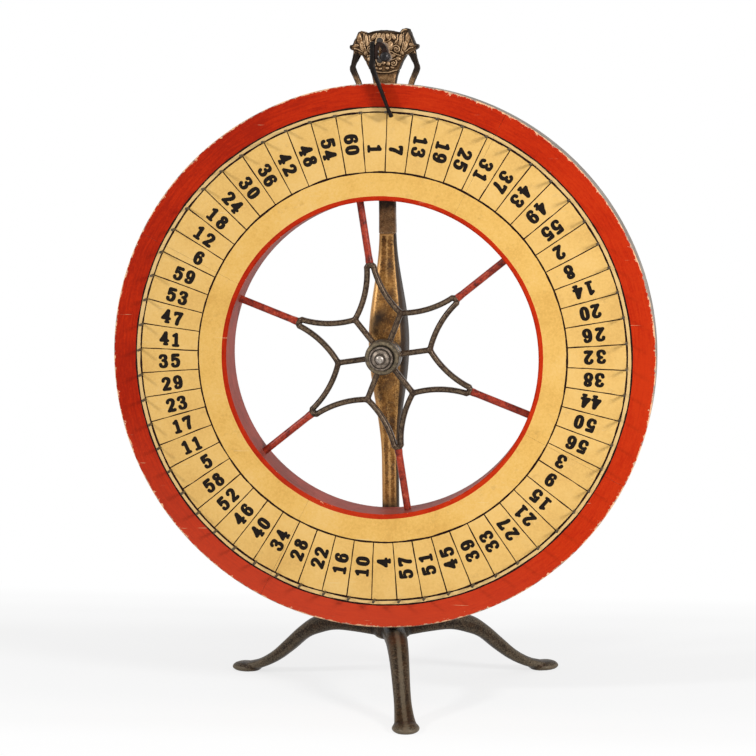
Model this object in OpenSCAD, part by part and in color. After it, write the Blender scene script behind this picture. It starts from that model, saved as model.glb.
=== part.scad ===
// Tabletop prize wheel: a laminated wooden rim with 60 numbered cells and 60 pegs, a cast star
// spider on a ball-bearing hub, a cast-iron post on a three-legged foot, an ornate cast head
// and a leather flapper that clicks from peg to peg.
// Millimetres, +Z up, feet on z = 0. The wheel faces -Y and turns about the Y axis line x = 0.

/* [Wheel] */
// Outside diameter of the wooden rim
wheel_d = 614; // [580:1:616]
// Diameter of the open middle of the rim
hole_d = 354; // [340:2:360]
// Thickness of the rim, front to back
rim_t = 52; // [46:1:54]
// Number of cells, with one peg on each line between two cells
cells = 60; // [48:6:60]
// Radius of the circle that the pegs stand on
peg_circle_r = 275.3; // [260:0.1:280]
// Diameter of a peg
peg_d = 3; // [2:0.1:3.4]
// How far a peg stands out of the front face
peg_out = 14; // [8:0.5:15]
// How far the wheel has stopped short of a line being upright, in degrees
wheel_turn = 2.1; // [1.6:0.1:2.6]

/* [Spider] */
// Radius from the axle to the inner corners of the star
corner_r = 53; // [46:1:56]
// Radius from the axle to the points of the star
point_r = 107; // [100:1:112]
// Radius of the hollow curve of each side of the star
side_curve_r = 108; // [90:1:140]
// Width of a cast arm
arm_w = 6.4; // [5:0.1:7]
// Depth of a cast arm, front to back
arm_t = 9; // [7:0.5:11]
// Diameter of the painted rods between star and rim
rod_d = 8.2; // [6:0.1:8.6]
// Angle of the first star point from level, in degrees
star_turn = 38.2; // [0:0.1:60]

/* [Stand] */
// Height of the axle above the table
axle_z = 393; // [388:1:420]
// Width of the post away from its swell
post_w = 19; // [16:1:20]
// Depth of the post away from its swell
post_t = 16; // [14:1:16]
// Width of the post's leaf-shaped swell at the axle
boss_w = 44; // [34:1:46]
// Depth of the swell at the axle
boss_t = 50; // [44:1:50]
// Distance from the post to the middle of a foot pad
foot_r = 205.5; // [195:0.5:230]
// Diameter of a foot pad
pad_d = 31; // [26:1:36]
// Directions of the three legs: front, right and left, in degrees
leg_turns = [281.7, 34.1, 158.2];

/* [Head] */
// Height of the top of the head above the axle
head_top = 367; // [362:1:380]
// Width of the head across its two side knobs
head_w = 82; // [76:1:90]
// Front to back thickness of the head
head_t = 18; // [14:1:20]
// Height of the joint between post and head above the axle
neck_joint = 137; // [125:1:150]

/* [Pointer] */
// Distance of the flapper's pivot to the right of the axle
pivot_x = 10; // [8:0.5:11]
// Height of the pivot above the axle
pivot_up = 336; // [334:0.5:338]
// Thickness of the leather strap
strap_t = 5; // [3:0.1:5.4]
// Width of the leather strap, front to back
strap_w = 10; // [8:0.5:11]

/* [Hidden] */
$fn = 96;

// Everything on the axle is placed by its distance in front of the wheel's middle plane.
face = rim_t / 2;
eps = 0.02;
run = 0.05;

// Rim
rim_r = wheel_d / 2;
hole_r = hole_d / 2;
front_seam_turn = 62.4;
back_seam_turn = front_seam_turn + 45;
seam_angle = 0.04;
rim_edge = 1.2;
peg_deep = 19;

// Hub and bearings
axle_r = 4.75;
barrel_r = 13;
hub_front = 20;
hub_back = -13;
head_r = 19.6;
groove_r = 14.8;
groove_deep = 2.4;
lock_r = 19.5;
spider_ring_r = 20;
spider_ring_t = 14;
ball_r = 2.4;
ball_circle_r = 8.5;
balls = 9;
front_ball_w = 15;
rear_ball_w = -9;
cup_r = ball_circle_r + ball_r + run;
cone_r = ball_circle_r - ball_r - run;
cone_shoulder_r = 8.4;
dome_tip = 38;
nut_back = 26;
nut_front = 32.6;
rear_cone_end = -15.5;

// Star and rods
corner_turn = star_turn - 30;
socket_r = 4.9;
fork_half = 3.8;
fork_r = point_r - 4.6;
knuckle_r = arm_w / 2 + 0.7;
rod_seat = 3.5;
rod_end = 15;
rod_tenon_r = 2.6;
rod_shoulder_r = rod_d / 2 + 0.4;

// Stand, with the feet centred about the wheel's middle plane
front_reach = foot_r * cos(leg_turns[0] - 270);
back_reach = foot_r * max(sin(leg_turns[1]), sin(leg_turns[2]));
post_w_pos = -(front_reach - back_reach) / 2;
base_top = 80;
tenon_r = 7;
swell_up = 128;
swell_down = 136;
swell_mid = 12;
post_stations = 40;
corner_cut = 3;
ridge = 1.2;
boss_face = post_w_pos + boss_t / 2;
boss_back = post_w_pos - boss_t / 2;
base_under = 60;
recess_r = 13;
washer_top = 70;
washer_t = 3;
base_nut_w = 17.6;
base_nut_t = 7;
neck_tenon_r = 4.5;
neck_tenon_h = 18;
neck_pin_r = 1.75;
seat_r = 11.5;

// Head and pointer
head_front = post_w_pos + head_t / 2;
stem_top = 338;
ear_drop = 2.6;
ridge_end = 322;
ridge_fade = 40;
screw_r = 2;
screw_gap = 21;
plate_x = -5;
plate_up = 344;
plate_r = 5;
plate_t = 5;
eye_back = 17;
eye_r = 5.6;
flapper_back = 28;
flapper_front = 40;
flapper_r = 5.6;
flat_x = -1.2;
flat_low = 332.5;
lever_t = 3.2;
pivot_r = 2.5;
side_gap = 0.3;
strap_back = 28.5;
strap_rivet_r = 1.3;
strap_rivet_ups = [336, 341.5];

// Stations of a leg: distance from the post, height of its middle, half width, half height
leg_stations = [
    [8, 70, 13, 10], [45, 71, 13, 8.8], [75, 71, 12.4, 9.4], [100, 65, 11.6, 10.2],
    [120, 54, 10.8, 8.4], [140, 37, 10, 7.8], [160, 21.2, 9.6, 6.7], [180, 10.7, 10, 5.7],
    [200, 5.7, 11.5, 4.6]
];

// Stations of the head's stem: height above the axle, half width, half depth
stem_stations = [
    [neck_joint, post_w / 2 + 0.3, post_t / 2 + 0.5], [170, post_w / 2, post_t / 2],
    [225, post_w / 2 + 0.2, post_t / 2], [270, post_w / 2 + 1, post_t / 2],
    [306, post_w / 2 + 3.4, post_t / 2 + 0.4], [322, 16.8, head_t / 2 - 0.15],
    [stem_top, 24, head_t / 2 - 0.7]
];

// Right half of the crown's outline, from the top of the stem to the crest
crown_half = [
    [17, 323], [21, 332], [24.7, 338.4], [30, 341.4], [34.8, 344], [37.4, 345], [head_w / 2 - 0.8, 346.4],
    [head_w / 2, 348.4], [head_w / 2 - 0.8, 350.6], [35.8, 351], [33.6, 355.4], [31.6, 361],
    [28.8, head_top + 0.8], [25, head_top + 2], [21, head_top + 0.6], [19, head_top - 3.2],
    [10, head_top - 0.9]
];

// Stations of a side arm: distance out, height, half depth, half width
head_arm = [
    [30, 345, 4.6, 5.6], [33.8, 334.5, 4.6, 3.8], [35.6, 328.4, 4.6, 3], [36.2, 323.4, 4.6, 3.7],
    [32.8, 314, 4.4, 3.5], [29.1, 303.5, 4.4, 3.4], [22.5, 275, 4.4, 3.5], [14.5, 246, 4.4, 3.6],
    [6.5, 224, 4.4, 3.6]
];

// The bracket turns this far to the right on its way from its plate to the eye
bracket_yaw = atan((pivot_x - plate_x) / (eye_back + 4 - head_front));

// Stations of the bracket: distance in front of the head's face, height, half sizes
bracket_stations = [
    [plate_t - 2, plate_up, 4.2, 4.6], [18, 347.5, 4.2, 4.4], [36, 348, 4, 4.2], [48, 344.5, 4, 4.2],
    [(eye_back + 4 - head_front) / cos(bracket_yaw), pivot_up, 4.4, 4.6]
];

// Middle line of the lever seen from the front, with its half thickness: up the back of the
// strap, over in an arch and down to the pivot
lever_stations = [
    [flat_x + 1.5, flat_low + 0.5, 1.6], [flat_x + 1.5, 344, 1.7], [flat_x + 3.4, 349.6, 2.2],
    [6.2, 348.8, 2.6], [9.4, 344, 3], [pivot_x, pivot_up + 1, 3.8]
];

// Middle line of the strap seen from the front, with its half thickness
strap_stations = [
    [flat_x - strap_t / 2, 353.2, strap_t / 2 - 0.4], [flat_x - strap_t / 2, 343, strap_t / 2],
    [flat_x - strap_t / 2, 333.5, strap_t / 2], [flat_x - strap_t / 2 - 0.6, 326, strap_t / 2 + 0.3],
    [-3.2, 315.5, 2.6], [0, 305.5, 2.2], [5.4, 292.4, 1.9], [11.7, 279.6, 1.8], [16, 271.6, 2.3],
    [17.2, 269.4, 1.2]
];

function polar(r, a) = [r * cos(a), r * sin(a)];
function unit(v) = v / norm(v);
function wave(t) = 0.5 + 0.5 * cos(180 * min(1, abs(t)));

// A smooth curve through the points of P, at t from 0 to len(P) - 1
function spline_at(P, t) =
    let (last = len(P) - 1, i = min(floor(t), last - 1), u = t - i,
         a = P[max(i - 1, 0)], b = P[i], c = P[i + 1], d = P[min(i + 2, last)])
    0.5 * (2 * b + (c - a) * u + (2 * a - 5 * b + 4 * c - d) * u * u
           + (3 * b - a - 3 * c + d) * u * u * u);
function spline(P, steps) =
    [for (k = [0:steps]) spline_at(P, k * (len(P) - 1) / steps)];

// Rounded-square wave that fattens an ellipse towards a rectangle
function fat(v) = sign(v) * pow(abs(v), 0.7);

// Outline of a bar with cut corners, counterclockwise, with a low ridge along its front
function cut_bar(x, t, cut, ridge) = [
    [-x + cut, -t], [0, -t - ridge], [x - cut, -t], [x, -t + cut], [x, t - cut],
    [x - cut, t], [-x + cut, t], [-x, t - cut], [-x, -t + cut]
];

// A flat shape along stations of [x, up, half thickness]
module ribbon(stations, steps) {
    S = spline(stations, steps);
    normals = [for (i = [0:steps])
        let (q = S[min(i + 1, steps)] - S[max(i - 1, 0)]) unit([-q[1], q[0]])];
    one_side = [for (i = [0:steps]) [S[i][0], S[i][1]] + normals[i] * S[i][2]];
    other_side = [for (i = [steps:-1:0]) [S[i][0], S[i][1]] - normals[i] * S[i][2]];
    polygon(concat(one_side, other_side));
}

// One closed solid through a list of rings that all have the same number of points,
// counterclockwise as seen from the end of the list
module loft(rings) {
    n = len(rings[0]);
    last = len(rings) - 1;
    polyhedron(
        points = [for (ring = rings) each ring],
        faces = concat(
            [[for (k = [0:n - 1]) k]],
            [for (i = [0:last - 1], k = [0:n - 1])
                [i * n + k, (i + 1) * n + (k + 1) % n, i * n + (k + 1) % n]],
            [for (i = [0:last - 1], k = [0:n - 1])
                [i * n + k, (i + 1) * n + k, (i + 1) * n + (k + 1) % n]],
            [[for (k = [n - 1:-1:0]) last * n + k]]
        )
    );
}

// A bar along stations of [along, up, half width, half height]. It lies in the plane of the
// first and third axes, and its width runs along the second.
module bar(stations, steps, sides) {
    S = spline(stations, steps);
    loft([for (i = [0:steps])
        let (p = [S[i][0], 0, S[i][1]],
             q = S[min(i + 1, steps)] - S[max(i - 1, 0)],
             d = unit([q[0], 0, q[1]]),
             up = [-d[2], 0, d[0]])
        [for (k = [0:sides - 1])
            let (a = 360 * k / sides)
            p + [0, S[i][2] * fat(cos(a)), 0] + up * S[i][3] * fat(sin(a))]]);
}

// Turns the flat drawing plane to face the front, with its origin on the axle line
module facing() {
    translate([0, 0, axle_z]) rotate([90, 0, 0]) children();
}

// A turned piece on the axle, between two distances in front of the middle plane
module turned(from, to, r) {
    translate([0, 0, from]) cylinder(h = to - from, r = r);
}

// Rim

// Section of one lamination, with its outer corner on the open face eased
module rim_section() {
    polygon([
        [hole_r, 0], [rim_r, 0], [rim_r, face - rim_edge], [rim_r - rim_edge / 2, face - rim_edge / 3],
        [rim_r - rim_edge, face], [hole_r + rim_edge, face], [hole_r, face - rim_edge]
    ]);
}

module rod_bores(extra) {
    for (k = [0:5])
        rotate(star_turn + 60 * k) translate([hole_r - 5, 0, 0])
            rotate([0, 90, 0]) cylinder(h = rod_end + 6, r = rod_d / 2 + extra, $fn = 40);
}

module peg_holes() {
    for (k = [0:cells - 1])
        rotate(90 - wheel_turn + 360 / cells * k)
            translate([peg_circle_r, 0, face - peg_deep]) cylinder(h = peg_deep + 1, r = peg_d / 2, $fn = 24);
}

module rim_front(quarter) {
    color("#d8a84e") facing() difference() {
        rotate(front_seam_turn + 90 * quarter) rotate_extrude(angle = 90 - seam_angle, $fn = 180)
            rim_section();
        rod_bores(eps);
        peg_holes();
    }
}

module rim_back(quarter) {
    color("#8a3a2a") facing() difference() {
        rotate(back_seam_turn + 90 * quarter) rotate_extrude(angle = 90 - seam_angle, $fn = 180)
            mirror([0, 1]) rim_section();
        rod_bores(eps);
    }
}

module peg_pins() {
    color("#3c3430") facing()
        for (k = [0:cells - 1])
            rotate(90 - wheel_turn + 360 / cells * k)
                translate([peg_circle_r, 0, face - peg_deep])
                    rotate_extrude($fn = 24) polygon([
                        [0, 0], [peg_d / 2, 0], [peg_d / 2, peg_deep + peg_out - 0.6],
                        [peg_d / 2 - 0.6, peg_deep + peg_out], [0, peg_deep + peg_out]
                    ]);
}

// Spider

// Section of a cast arm: ridged on the front and on the back
function arm_section(x) = let (b = arm_w / 2, h = arm_t / 2) [
    [x + b, -h / 2], [x + b, h / 2], [x + b / 3, h], [x - b / 3, h],
    [x - b, h / 2], [x - b, -h / 2], [x - b / 3, -h], [x + b / 3, -h]
];

// One hollow side of the star, from the inner corner on the level line to the point above it
module star_side() {
    from = [corner_r, 0];
    to = polar(fork_r, 30) + fork_half * [sin(30), -cos(30)];
    chord = to - from;
    middle = (from + to) / 2;
    outward = unit([chord[1], -chord[0]]);
    centre = middle + outward * sqrt(pow(side_curve_r, 2) - pow(norm(chord) / 2, 2));
    a_from = atan2(from[1] - centre[1], from[0] - centre[0]);
    a_to = atan2(to[1] - centre[1], to[0] - centre[0]);
    sweep = (a_from - a_to + 720) % 360;
    translate([centre[0], centre[1], 0]) rotate(a_to)
        rotate_extrude(angle = sweep, $fn = 180) polygon(arm_section(side_curve_r));
    translate([to[0], to[1], 0]) knuckle(arm_w / 2 + 0.2, arm_t / 2 + 0.1);
}

module knuckle(r, h) {
    rotate_extrude($fn = 32) polygon([[0, -h], [r / 2.4, -h], [r, -h / 2], [r, h / 2], [r / 2.4, h], [0, h]]);
}

// Rounded end of a star point, which takes the socket for its rod
module star_point() {
    translate([fork_r + 0.7, 0, 0]) rotate([0, 90, 0])
        cylinder(h = point_r - fork_r - 0.7, r = socket_r, $fn = 40);
    translate([0, 0, -arm_t / 3]) linear_extrude(arm_t * 2 / 3) polygon([
        [fork_r - 0.9, -fork_half - arm_w / 2 + 0.6], [fork_r + 2, -fork_half - 2.2],
        [point_r - 0.4, -socket_r + 0.6], [point_r - 0.4, socket_r - 0.6],
        [fork_r + 2, fork_half + 2.2], [fork_r - 0.9, fork_half + arm_w / 2 - 0.6]
    ]);
}

module spider() {
    color("#6b5238") facing() difference() {
        union() {
            for (k = [0:5]) rotate(corner_turn + 60 * k) {
                star_side();
                mirror([0, 1, 0]) star_side();
                translate([corner_r, 0, 0]) knuckle(knuckle_r, arm_t / 2 + 0.15);
                translate([spider_ring_r - 3, 0, 0]) rotate([90, 0, 90])
                    linear_extrude(corner_r - spider_ring_r + 3) polygon(arm_section(0));
                rotate(30) star_point();
            }
            turned(-spider_ring_t / 2, spider_ring_t / 2, spider_ring_r);
        }
        turned(-spider_ring_t, spider_ring_t, barrel_r + run);
        for (k = [0:5]) rotate(star_turn + 60 * k)
            translate([point_r - rod_seat, 0, 0]) rotate([0, 90, 0])
                cylinder(h = rod_seat + 4, r = rod_tenon_r + eps, $fn = 40);
    }
}

// Six rods, each with a tenon in its socket, let into the joint of the laminations
module spoke_rods() {
    color("#b3301c") facing()
        for (k = [0:5]) rotate(star_turn + 60 * k) rotate([0, 90, 0])
            rotate_extrude($fn = 40) polygon([
                [0, point_r - rod_seat], [rod_tenon_r, point_r - rod_seat], [rod_tenon_r, point_r],
                [rod_shoulder_r, point_r], [rod_shoulder_r, point_r + 2.5], [rod_d / 2, point_r + 7],
                [rod_d / 2, hole_r + rod_end], [0, hole_r + rod_end]
            ]);
}

// Hub and bearings

// Front head and barrel of the hub, with a ball cup at each end
module hub_shell() {
    color("#57504a") facing() rotate_extrude() polygon([
        [axle_r + 1.2, rear_ball_w + ball_r + run], [cup_r, rear_ball_w + ball_r + run],
        [cup_r, hub_back], [barrel_r, hub_back], [barrel_r, spider_ring_t / 2],
        [head_r - 3, spider_ring_t / 2], [head_r, spider_ring_t / 2 + 2], [head_r, hub_front - 2.5],
        [head_r - 1.5, hub_front - 0.5], [head_r - 3.5, hub_front], [groove_r, hub_front],
        [groove_r - 0.3, hub_front - groove_deep], [cup_r + 2, hub_front - groove_deep],
        [cup_r + 2, hub_front], [cup_r + 1.2, hub_front],
        [cup_r + 1.2, hub_front - 2], [cup_r, hub_front - 2],
        [cup_r, front_ball_w - ball_r - run], [axle_r + 1.2, front_ball_w - ball_r - run]
    ]);
}

// Ring that clamps the spider against the front head
module hub_lock_ring() {
    color("#5a5654") facing() rotate_extrude() polygon([
        [barrel_r + eps, -spider_ring_t / 2], [lock_r, -spider_ring_t / 2],
        [lock_r, hub_back + 1], [lock_r - 1, hub_back], [barrel_r + eps, hub_back]
    ]);
}

// Pressed cap that keeps dust out of the front balls
module front_dust_cap() {
    color("#8a827a") facing() rotate_extrude() polygon([
        [cup_r + 1.15, hub_front - 2], [cup_r + 1.15, hub_front + 0.4], [cup_r + 1.8, hub_front + 0.4],
        [cup_r + 1.8, hub_front + 3], [cup_r + 0.8, hub_front + 4], [cone_shoulder_r + 0.5, hub_front + 4],
        [cone_shoulder_r + 0.5, hub_front + 2.6], [cup_r - 0.4, hub_front + 2.6], [cup_r - 0.4, hub_front - 2]
    ]);
}

module bearing_balls(w) {
    for (k = [0:balls - 1])
        rotate(360 / balls * k) translate([ball_circle_r, 0, w]) sphere(r = ball_r, $fn = 32);
}

module front_bearing_balls() {
    color("#b8b4ae") facing() bearing_balls(front_ball_w);
}

module rear_bearing_balls() {
    color("#b8b4ae") facing() bearing_balls(rear_ball_w);
}

// A ball cone bored for the axle, with its shoulder at the outer side of the balls
module cone(ball_w, outer_w) {
    side = sign(outer_w - ball_w);
    inner_w = ball_w - side * (ball_r - 0.3);
    shoulder_w = ball_w + side * (ball_r + run);
    rotate_extrude() polygon([
        [axle_r + eps, inner_w], [cone_r, inner_w], [cone_r, shoulder_w],
        [cone_shoulder_r, shoulder_w + side * 1.2], [cone_shoulder_r, outer_w], [axle_r + eps, outer_w]
    ]);
}

module front_cone() {
    color("#7d756c") facing() cone(front_ball_w, nut_back);
}

module rear_cone() {
    color("#7d756c") facing() cone(rear_ball_w, rear_cone_end);
}

module rear_locknut() {
    color("#6e6862") facing() difference() {
        translate([0, 0, boss_face]) cylinder(h = rear_cone_end - boss_face, r = 9, $fn = 6);
        turned(boss_face - 1, rear_cone_end + 1, axle_r + eps);
    }
}

// Stepped round nut at the front of the axle, with a flange that covers the dust cap's bore
module front_cone_nut() {
    color("#9a9188") facing() rotate_extrude() polygon([
        [axle_r + eps, nut_back], [12.6, nut_back], [13.4, nut_back + 0.6], [13.4, nut_back + 1.8],
        [12.7, nut_back + 2.6], [11.6, nut_back + 2.6], [11.2, nut_back + 1.4], [10.4, nut_back + 1.4],
        [10.2, nut_front - 2.4], [9.4, nut_front - 1.2], [6.6, nut_front], [6.2, nut_front - 1],
        [axle_r + eps, nut_front - 1]
    ]);
}

// Fixed axle: a stud through the swell of the post, with a domed front end
module axle_stud() {
    color("#a39c94") facing() rotate_extrude() polygon(concat(
        [[0, boss_back - 10], [axle_r - 0.8, boss_back - 10], [axle_r, boss_back - 9.2]],
        [[axle_r, dome_tip - axle_r * 0.6]],
        [for (a = [15:15:75]) [axle_r * cos(a), dome_tip - axle_r * 0.6 * (1 - sin(a))]],
        [[0, dome_tip]]
    ));
}

module axle_rear_washer() {
    color("#6e6862") facing() difference() {
        turned(boss_back - 2, boss_back, 11);
        turned(boss_back - 3, boss_back + 1, axle_r + 0.3);
    }
}

module axle_rear_nut() {
    color("#4a4440") facing() difference() {
        translate([0, 0, boss_back - 9]) cylinder(h = 7, r = 9.5, $fn = 6);
        turned(boss_back - 10, boss_back - 1, axle_r + eps);
    }
}

// Post

function post_swell(up) = let (d = up - swell_mid) wave(d > 0 ? d / swell_up : d / swell_down);
function post_half_w(up) = post_w / 2 + (boss_w - post_w) / 2 * post_swell(up);
function post_half_t(up) = post_t / 2 + (boss_t - post_t) / 2 * post_swell(up);

function post_ring(up) =
    cut_bar(post_half_w(up), post_half_t(up), corner_cut, ridge * (1 - post_swell(up)));

// The front ridge dies away below the crown, where the pointer's bracket is screwed on
function stem_ring(s) =
    cut_bar(s[1], s[2], corner_cut, ridge * max(0, min(1, (ridge_end - s[0]) / ridge_fade)));

// Post with a leaf-shaped swell, faced flat where the axle's nuts bear, and a tenon at each end
module post() {
    low = base_top - axle_z;
    color("#8a6a38") difference() {
        union() {
            translate([0, -post_w_pos, axle_z])
                loft([for (i = [0:post_stations])
                    let (up = low + (neck_joint - low) * i / post_stations)
                    [for (p = post_ring(up)) [p[0], p[1], up]]]);
            translate([0, -post_w_pos, base_under])
                cylinder(h = base_top - base_under + 1, r = tenon_r);
            translate([0, -post_w_pos, axle_z + neck_joint - 1])
                cylinder(h = neck_tenon_h + 1, r = neck_tenon_r, $fn = 48);
            facing() turned(boss_back, boss_face, seat_r);
        }
        facing() turned(boss_back - 1, boss_face + 1, axle_r + eps);
        neck_pin_bar(neck_pin_r + eps, post_w);
    }
}

module neck_pin_bar(r, length) {
    translate([-length / 2, -post_w_pos, axle_z + neck_joint + neck_tenon_h / 2])
        rotate([0, 90, 0]) cylinder(h = length, r = r, $fn = 32);
}

// Cross pin that holds the head on the post's upper tenon
module neck_pin() {
    color("#4a3c2c") neck_pin_bar(neck_pin_r, post_w + 0.8);
}

// Tripod base

module leg() {
    bar(leg_stations, 26, 14);
    translate([foot_r, 0, 0]) rotate_extrude($fn = 64) polygon([
        [0, 0], [pad_d / 2 - 1.5, 0], [pad_d / 2, 2.4], [pad_d / 2 - 0.8, 5.4], [pad_d / 2 - 4, 8.4],
        [pad_d / 4, 9.8], [0, 10.2]
    ]);
}

module tripod_base() {
    color("#4a3a2c") translate([0, -post_w_pos, 0]) difference() {
        union() {
            for (turn = leg_turns) rotate(turn) leg();
            rotate_extrude($fn = 72) polygon([
                [0, base_under], [17, base_under], [21, base_under + 3], [22, base_under + 10],
                [21, base_top - 3], [18, base_top], [0, base_top]
            ]);
        }
        translate([0, 0, base_under - 5]) cylinder(h = base_top - base_under + 10, r = tenon_r + eps);
        translate([0, 0, base_under - 5]) cylinder(h = washer_top - base_under + 5, r = recess_r);
    }
}

module base_washer() {
    color("#5c5650") translate([0, -post_w_pos, washer_top - washer_t]) difference() {
        cylinder(h = washer_t, r = recess_r - 0.6);
        translate([0, 0, -1]) cylinder(h = washer_t + 2, r = tenon_r + 0.3);
    }
}

// Square nut in the recess under the base
module base_nut() {
    color("#4a4440") translate([0, -post_w_pos, washer_top - washer_t - base_nut_t]) difference() {
        translate([-base_nut_w / 2, -base_nut_w / 2, 0]) cube([base_nut_w, base_nut_w, base_nut_t]);
        translate([0, 0, -1]) cylinder(h = base_nut_t + 2, r = tenon_r + eps);
    }
}

// Head casting

// A raised scroll: part of a ring with a round section, on the front of the head
module scroll(x, up, r, thick, from, sweep) {
    translate([x, up, head_t / 2 - thick * 0.3]) rotate(from)
        rotate_extrude(angle = sweep, $fn = 48) translate([r, 0]) circle(r = thick, $fn = 20);
}

// Neck, stem and crown in one casting, with a lyre-shaped arm at each side. The left horn of
// the crown came out of the mould a little lower than the right one.
module head_casting() {
    steps = 26;
    stem = spline(stem_stations, steps);
    other_half = [for (i = [len(crown_half) - 1:-1:0])
        let (x = crown_half[i][0], up = crown_half[i][1]) [-x, up - (x > 20 && up > 360 ? ear_drop : 0)]];
    color("#8c6a3a") difference() {
        union() {
            translate([0, -post_w_pos, axle_z])
                loft([for (s = stem) [for (p = stem_ring(s)) [p[0], p[1], s[0]]]]);
            facing() translate([0, 0, post_w_pos]) {
                translate([0, 0, -head_t / 2]) linear_extrude(head_t)
                    polygon(concat(crown_half, [[0, head_top]], other_half));
                for (m = [0, 1]) mirror([m, 0, 0]) {
                    rotate([-90, 0, 0]) bar(head_arm, 24, 8);
                    scroll(21, 350, 6.5, 2.4, -150, 290);
                    scroll(14.6, 329, 3.8, 1.8, 20, 280);
                }
                scroll(0, head_top - 64, 60, 2, 73, 34);
            }
        }
        translate([0, -post_w_pos, axle_z + neck_joint - 1])
            cylinder(h = neck_tenon_h + 1.5, r = neck_tenon_r + eps, $fn = 48);
        neck_pin_bar(neck_pin_r + eps, post_w * 2);
        screw_bars(screw_r + eps);
    }
}

// Pointer

module screw_bars(r) {
    facing() for (side = [-1, 1])
        translate([plate_x, plate_up + side * screw_gap / 2, head_front - 9])
            cylinder(h = plate_t + 9 + eps, r = r, $fn = 32);
}

// Arm that is screwed to the head and carries the flapper forward over the rim
module pointer_bracket() {
    color("#6b4e2c") difference() {
        facing() {
            translate([plate_x, 0, head_front]) rotate([0, bracket_yaw, 0]) rotate([0, -90, -90])
                bar(bracket_stations, 20, 12);
            translate([pivot_x, pivot_up, eye_back])
                cylinder(h = flapper_back - side_gap - eye_back, r = eye_r, $fn = 48);
            translate([plate_x, plate_up, head_front]) linear_extrude(plate_t) {
                square([plate_r * 2, screw_gap], center = true);
                for (side = [-1, 1]) translate([0, side * screw_gap / 2]) circle(r = plate_r, $fn = 40);
            }
        }
        facing() translate([pivot_x, pivot_up, 0]) turned(eye_back - 2, flapper_back + 1, pivot_r + eps);
        screw_bars(screw_r + eps);
    }
}

// Two round-headed screws through the bracket's foot
module bracket_screws() {
    color("#4a4038") {
        screw_bars(screw_r);
        facing() for (side = [-1, 1])
            translate([plate_x, plate_up + side * screw_gap / 2, head_front + plate_t])
                rotate_extrude($fn = 40) polygon([[0, 0], [3.8, 0], [3.7, 0.8], [2.6, 2], [0, 2.5]]);
    }
}

// Shoulder bolt that the flapper swings on
module flapper_pivot_bolt() {
    color("#3a3432") facing() translate([pivot_x, pivot_up, 0]) rotate_extrude() polygon([
        [0, eye_back - 1], [pivot_r, eye_back - 1], [pivot_r, flapper_front + side_gap],
        [4.9, flapper_front + side_gap], [4.9, flapper_front + 1.2], [4.2, flapper_front + 2.8],
        [2.4, flapper_front + 3.9], [0, flapper_front + 4.2]
    ]);
}

module strap_rivet_bars(r, from, to) {
    facing() for (up = strap_rivet_ups)
        translate([flat_x + from, up, strap_back + strap_w / 2])
            rotate([0, 90, 0]) cylinder(h = to - from, r = r, $fn = 24);
}

// Iron lever: a collar on the bolt and an arched arm with a flat that the strap is riveted to
module flapper_boss() {
    color("#352c28") difference() {
        facing() union() {
            translate([pivot_x, pivot_up, 0]) rotate_extrude() polygon([
                [0, flapper_back], [flapper_r - 1, flapper_back], [flapper_r, flapper_back + 1],
                [flapper_r, flapper_front - 1.5], [flapper_r - 1.5, flapper_front], [0, flapper_front]
            ]);
            translate([0, 0, flapper_back]) linear_extrude(strap_w) ribbon(lever_stations, 24);
        }
        facing() translate([pivot_x, pivot_up, 0])
            turned(flapper_back - 1, flapper_front + 1, pivot_r + run);
        facing() translate([flat_x - 6, flat_low - 2, flapper_back - 1]) cube([6, 30, strap_w + 2]);
        strap_rivet_bars(strap_rivet_r + eps, -1, lever_t + 2);
    }
}

// Leather strap, flat against its lever and bent to one side below it
module flapper_strap() {
    color("#2c211c") difference() {
        facing() translate([0, 0, strap_back]) linear_extrude(strap_w) ribbon(strap_stations, 45);
        facing() translate([flat_x, flat_low - 2, strap_back - 1]) cube([6, 30, strap_w + 2]);
        strap_rivet_bars(strap_rivet_r + eps, -strap_t - 2, 1);
    }
}

module strap_rivets() {
    color("#6a5a48") {
        strap_rivet_bars(strap_rivet_r, -strap_t - 0.15, lever_t);
        strap_rivet_bars(2.4, -strap_t - 0.95, -strap_t - 0.15);
        strap_rivet_bars(1.9, lever_t, lever_t + 0.9);
    }
}

tripod_base();
base_washer();
base_nut();
post();
neck_pin();
head_casting();
pointer_bracket();
bracket_screws();
flapper_pivot_bolt();
axle_stud();
axle_rear_washer();
axle_rear_nut();
rear_cone();
rear_locknut();
front_cone();
front_cone_nut();
hub_shell();
hub_lock_ring();
front_dust_cap();
front_bearing_balls();
rear_bearing_balls();
spider();
spoke_rods();
rim_front(0);  // rim_front_1
rim_front(1);  // rim_front_2
rim_front(2);  // rim_front_3
rim_front(3);  // rim_front_4
rim_back(0);  // rim_back_1
rim_back(1);  // rim_back_2
rim_back(2);  // rim_back_3
rim_back(3);  // rim_back_4
peg_pins();
flapper_boss();
flapper_strap();
strap_rivets();
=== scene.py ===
import math

import bpy
import numpy as np
from mathutils import Matrix, Vector


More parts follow.
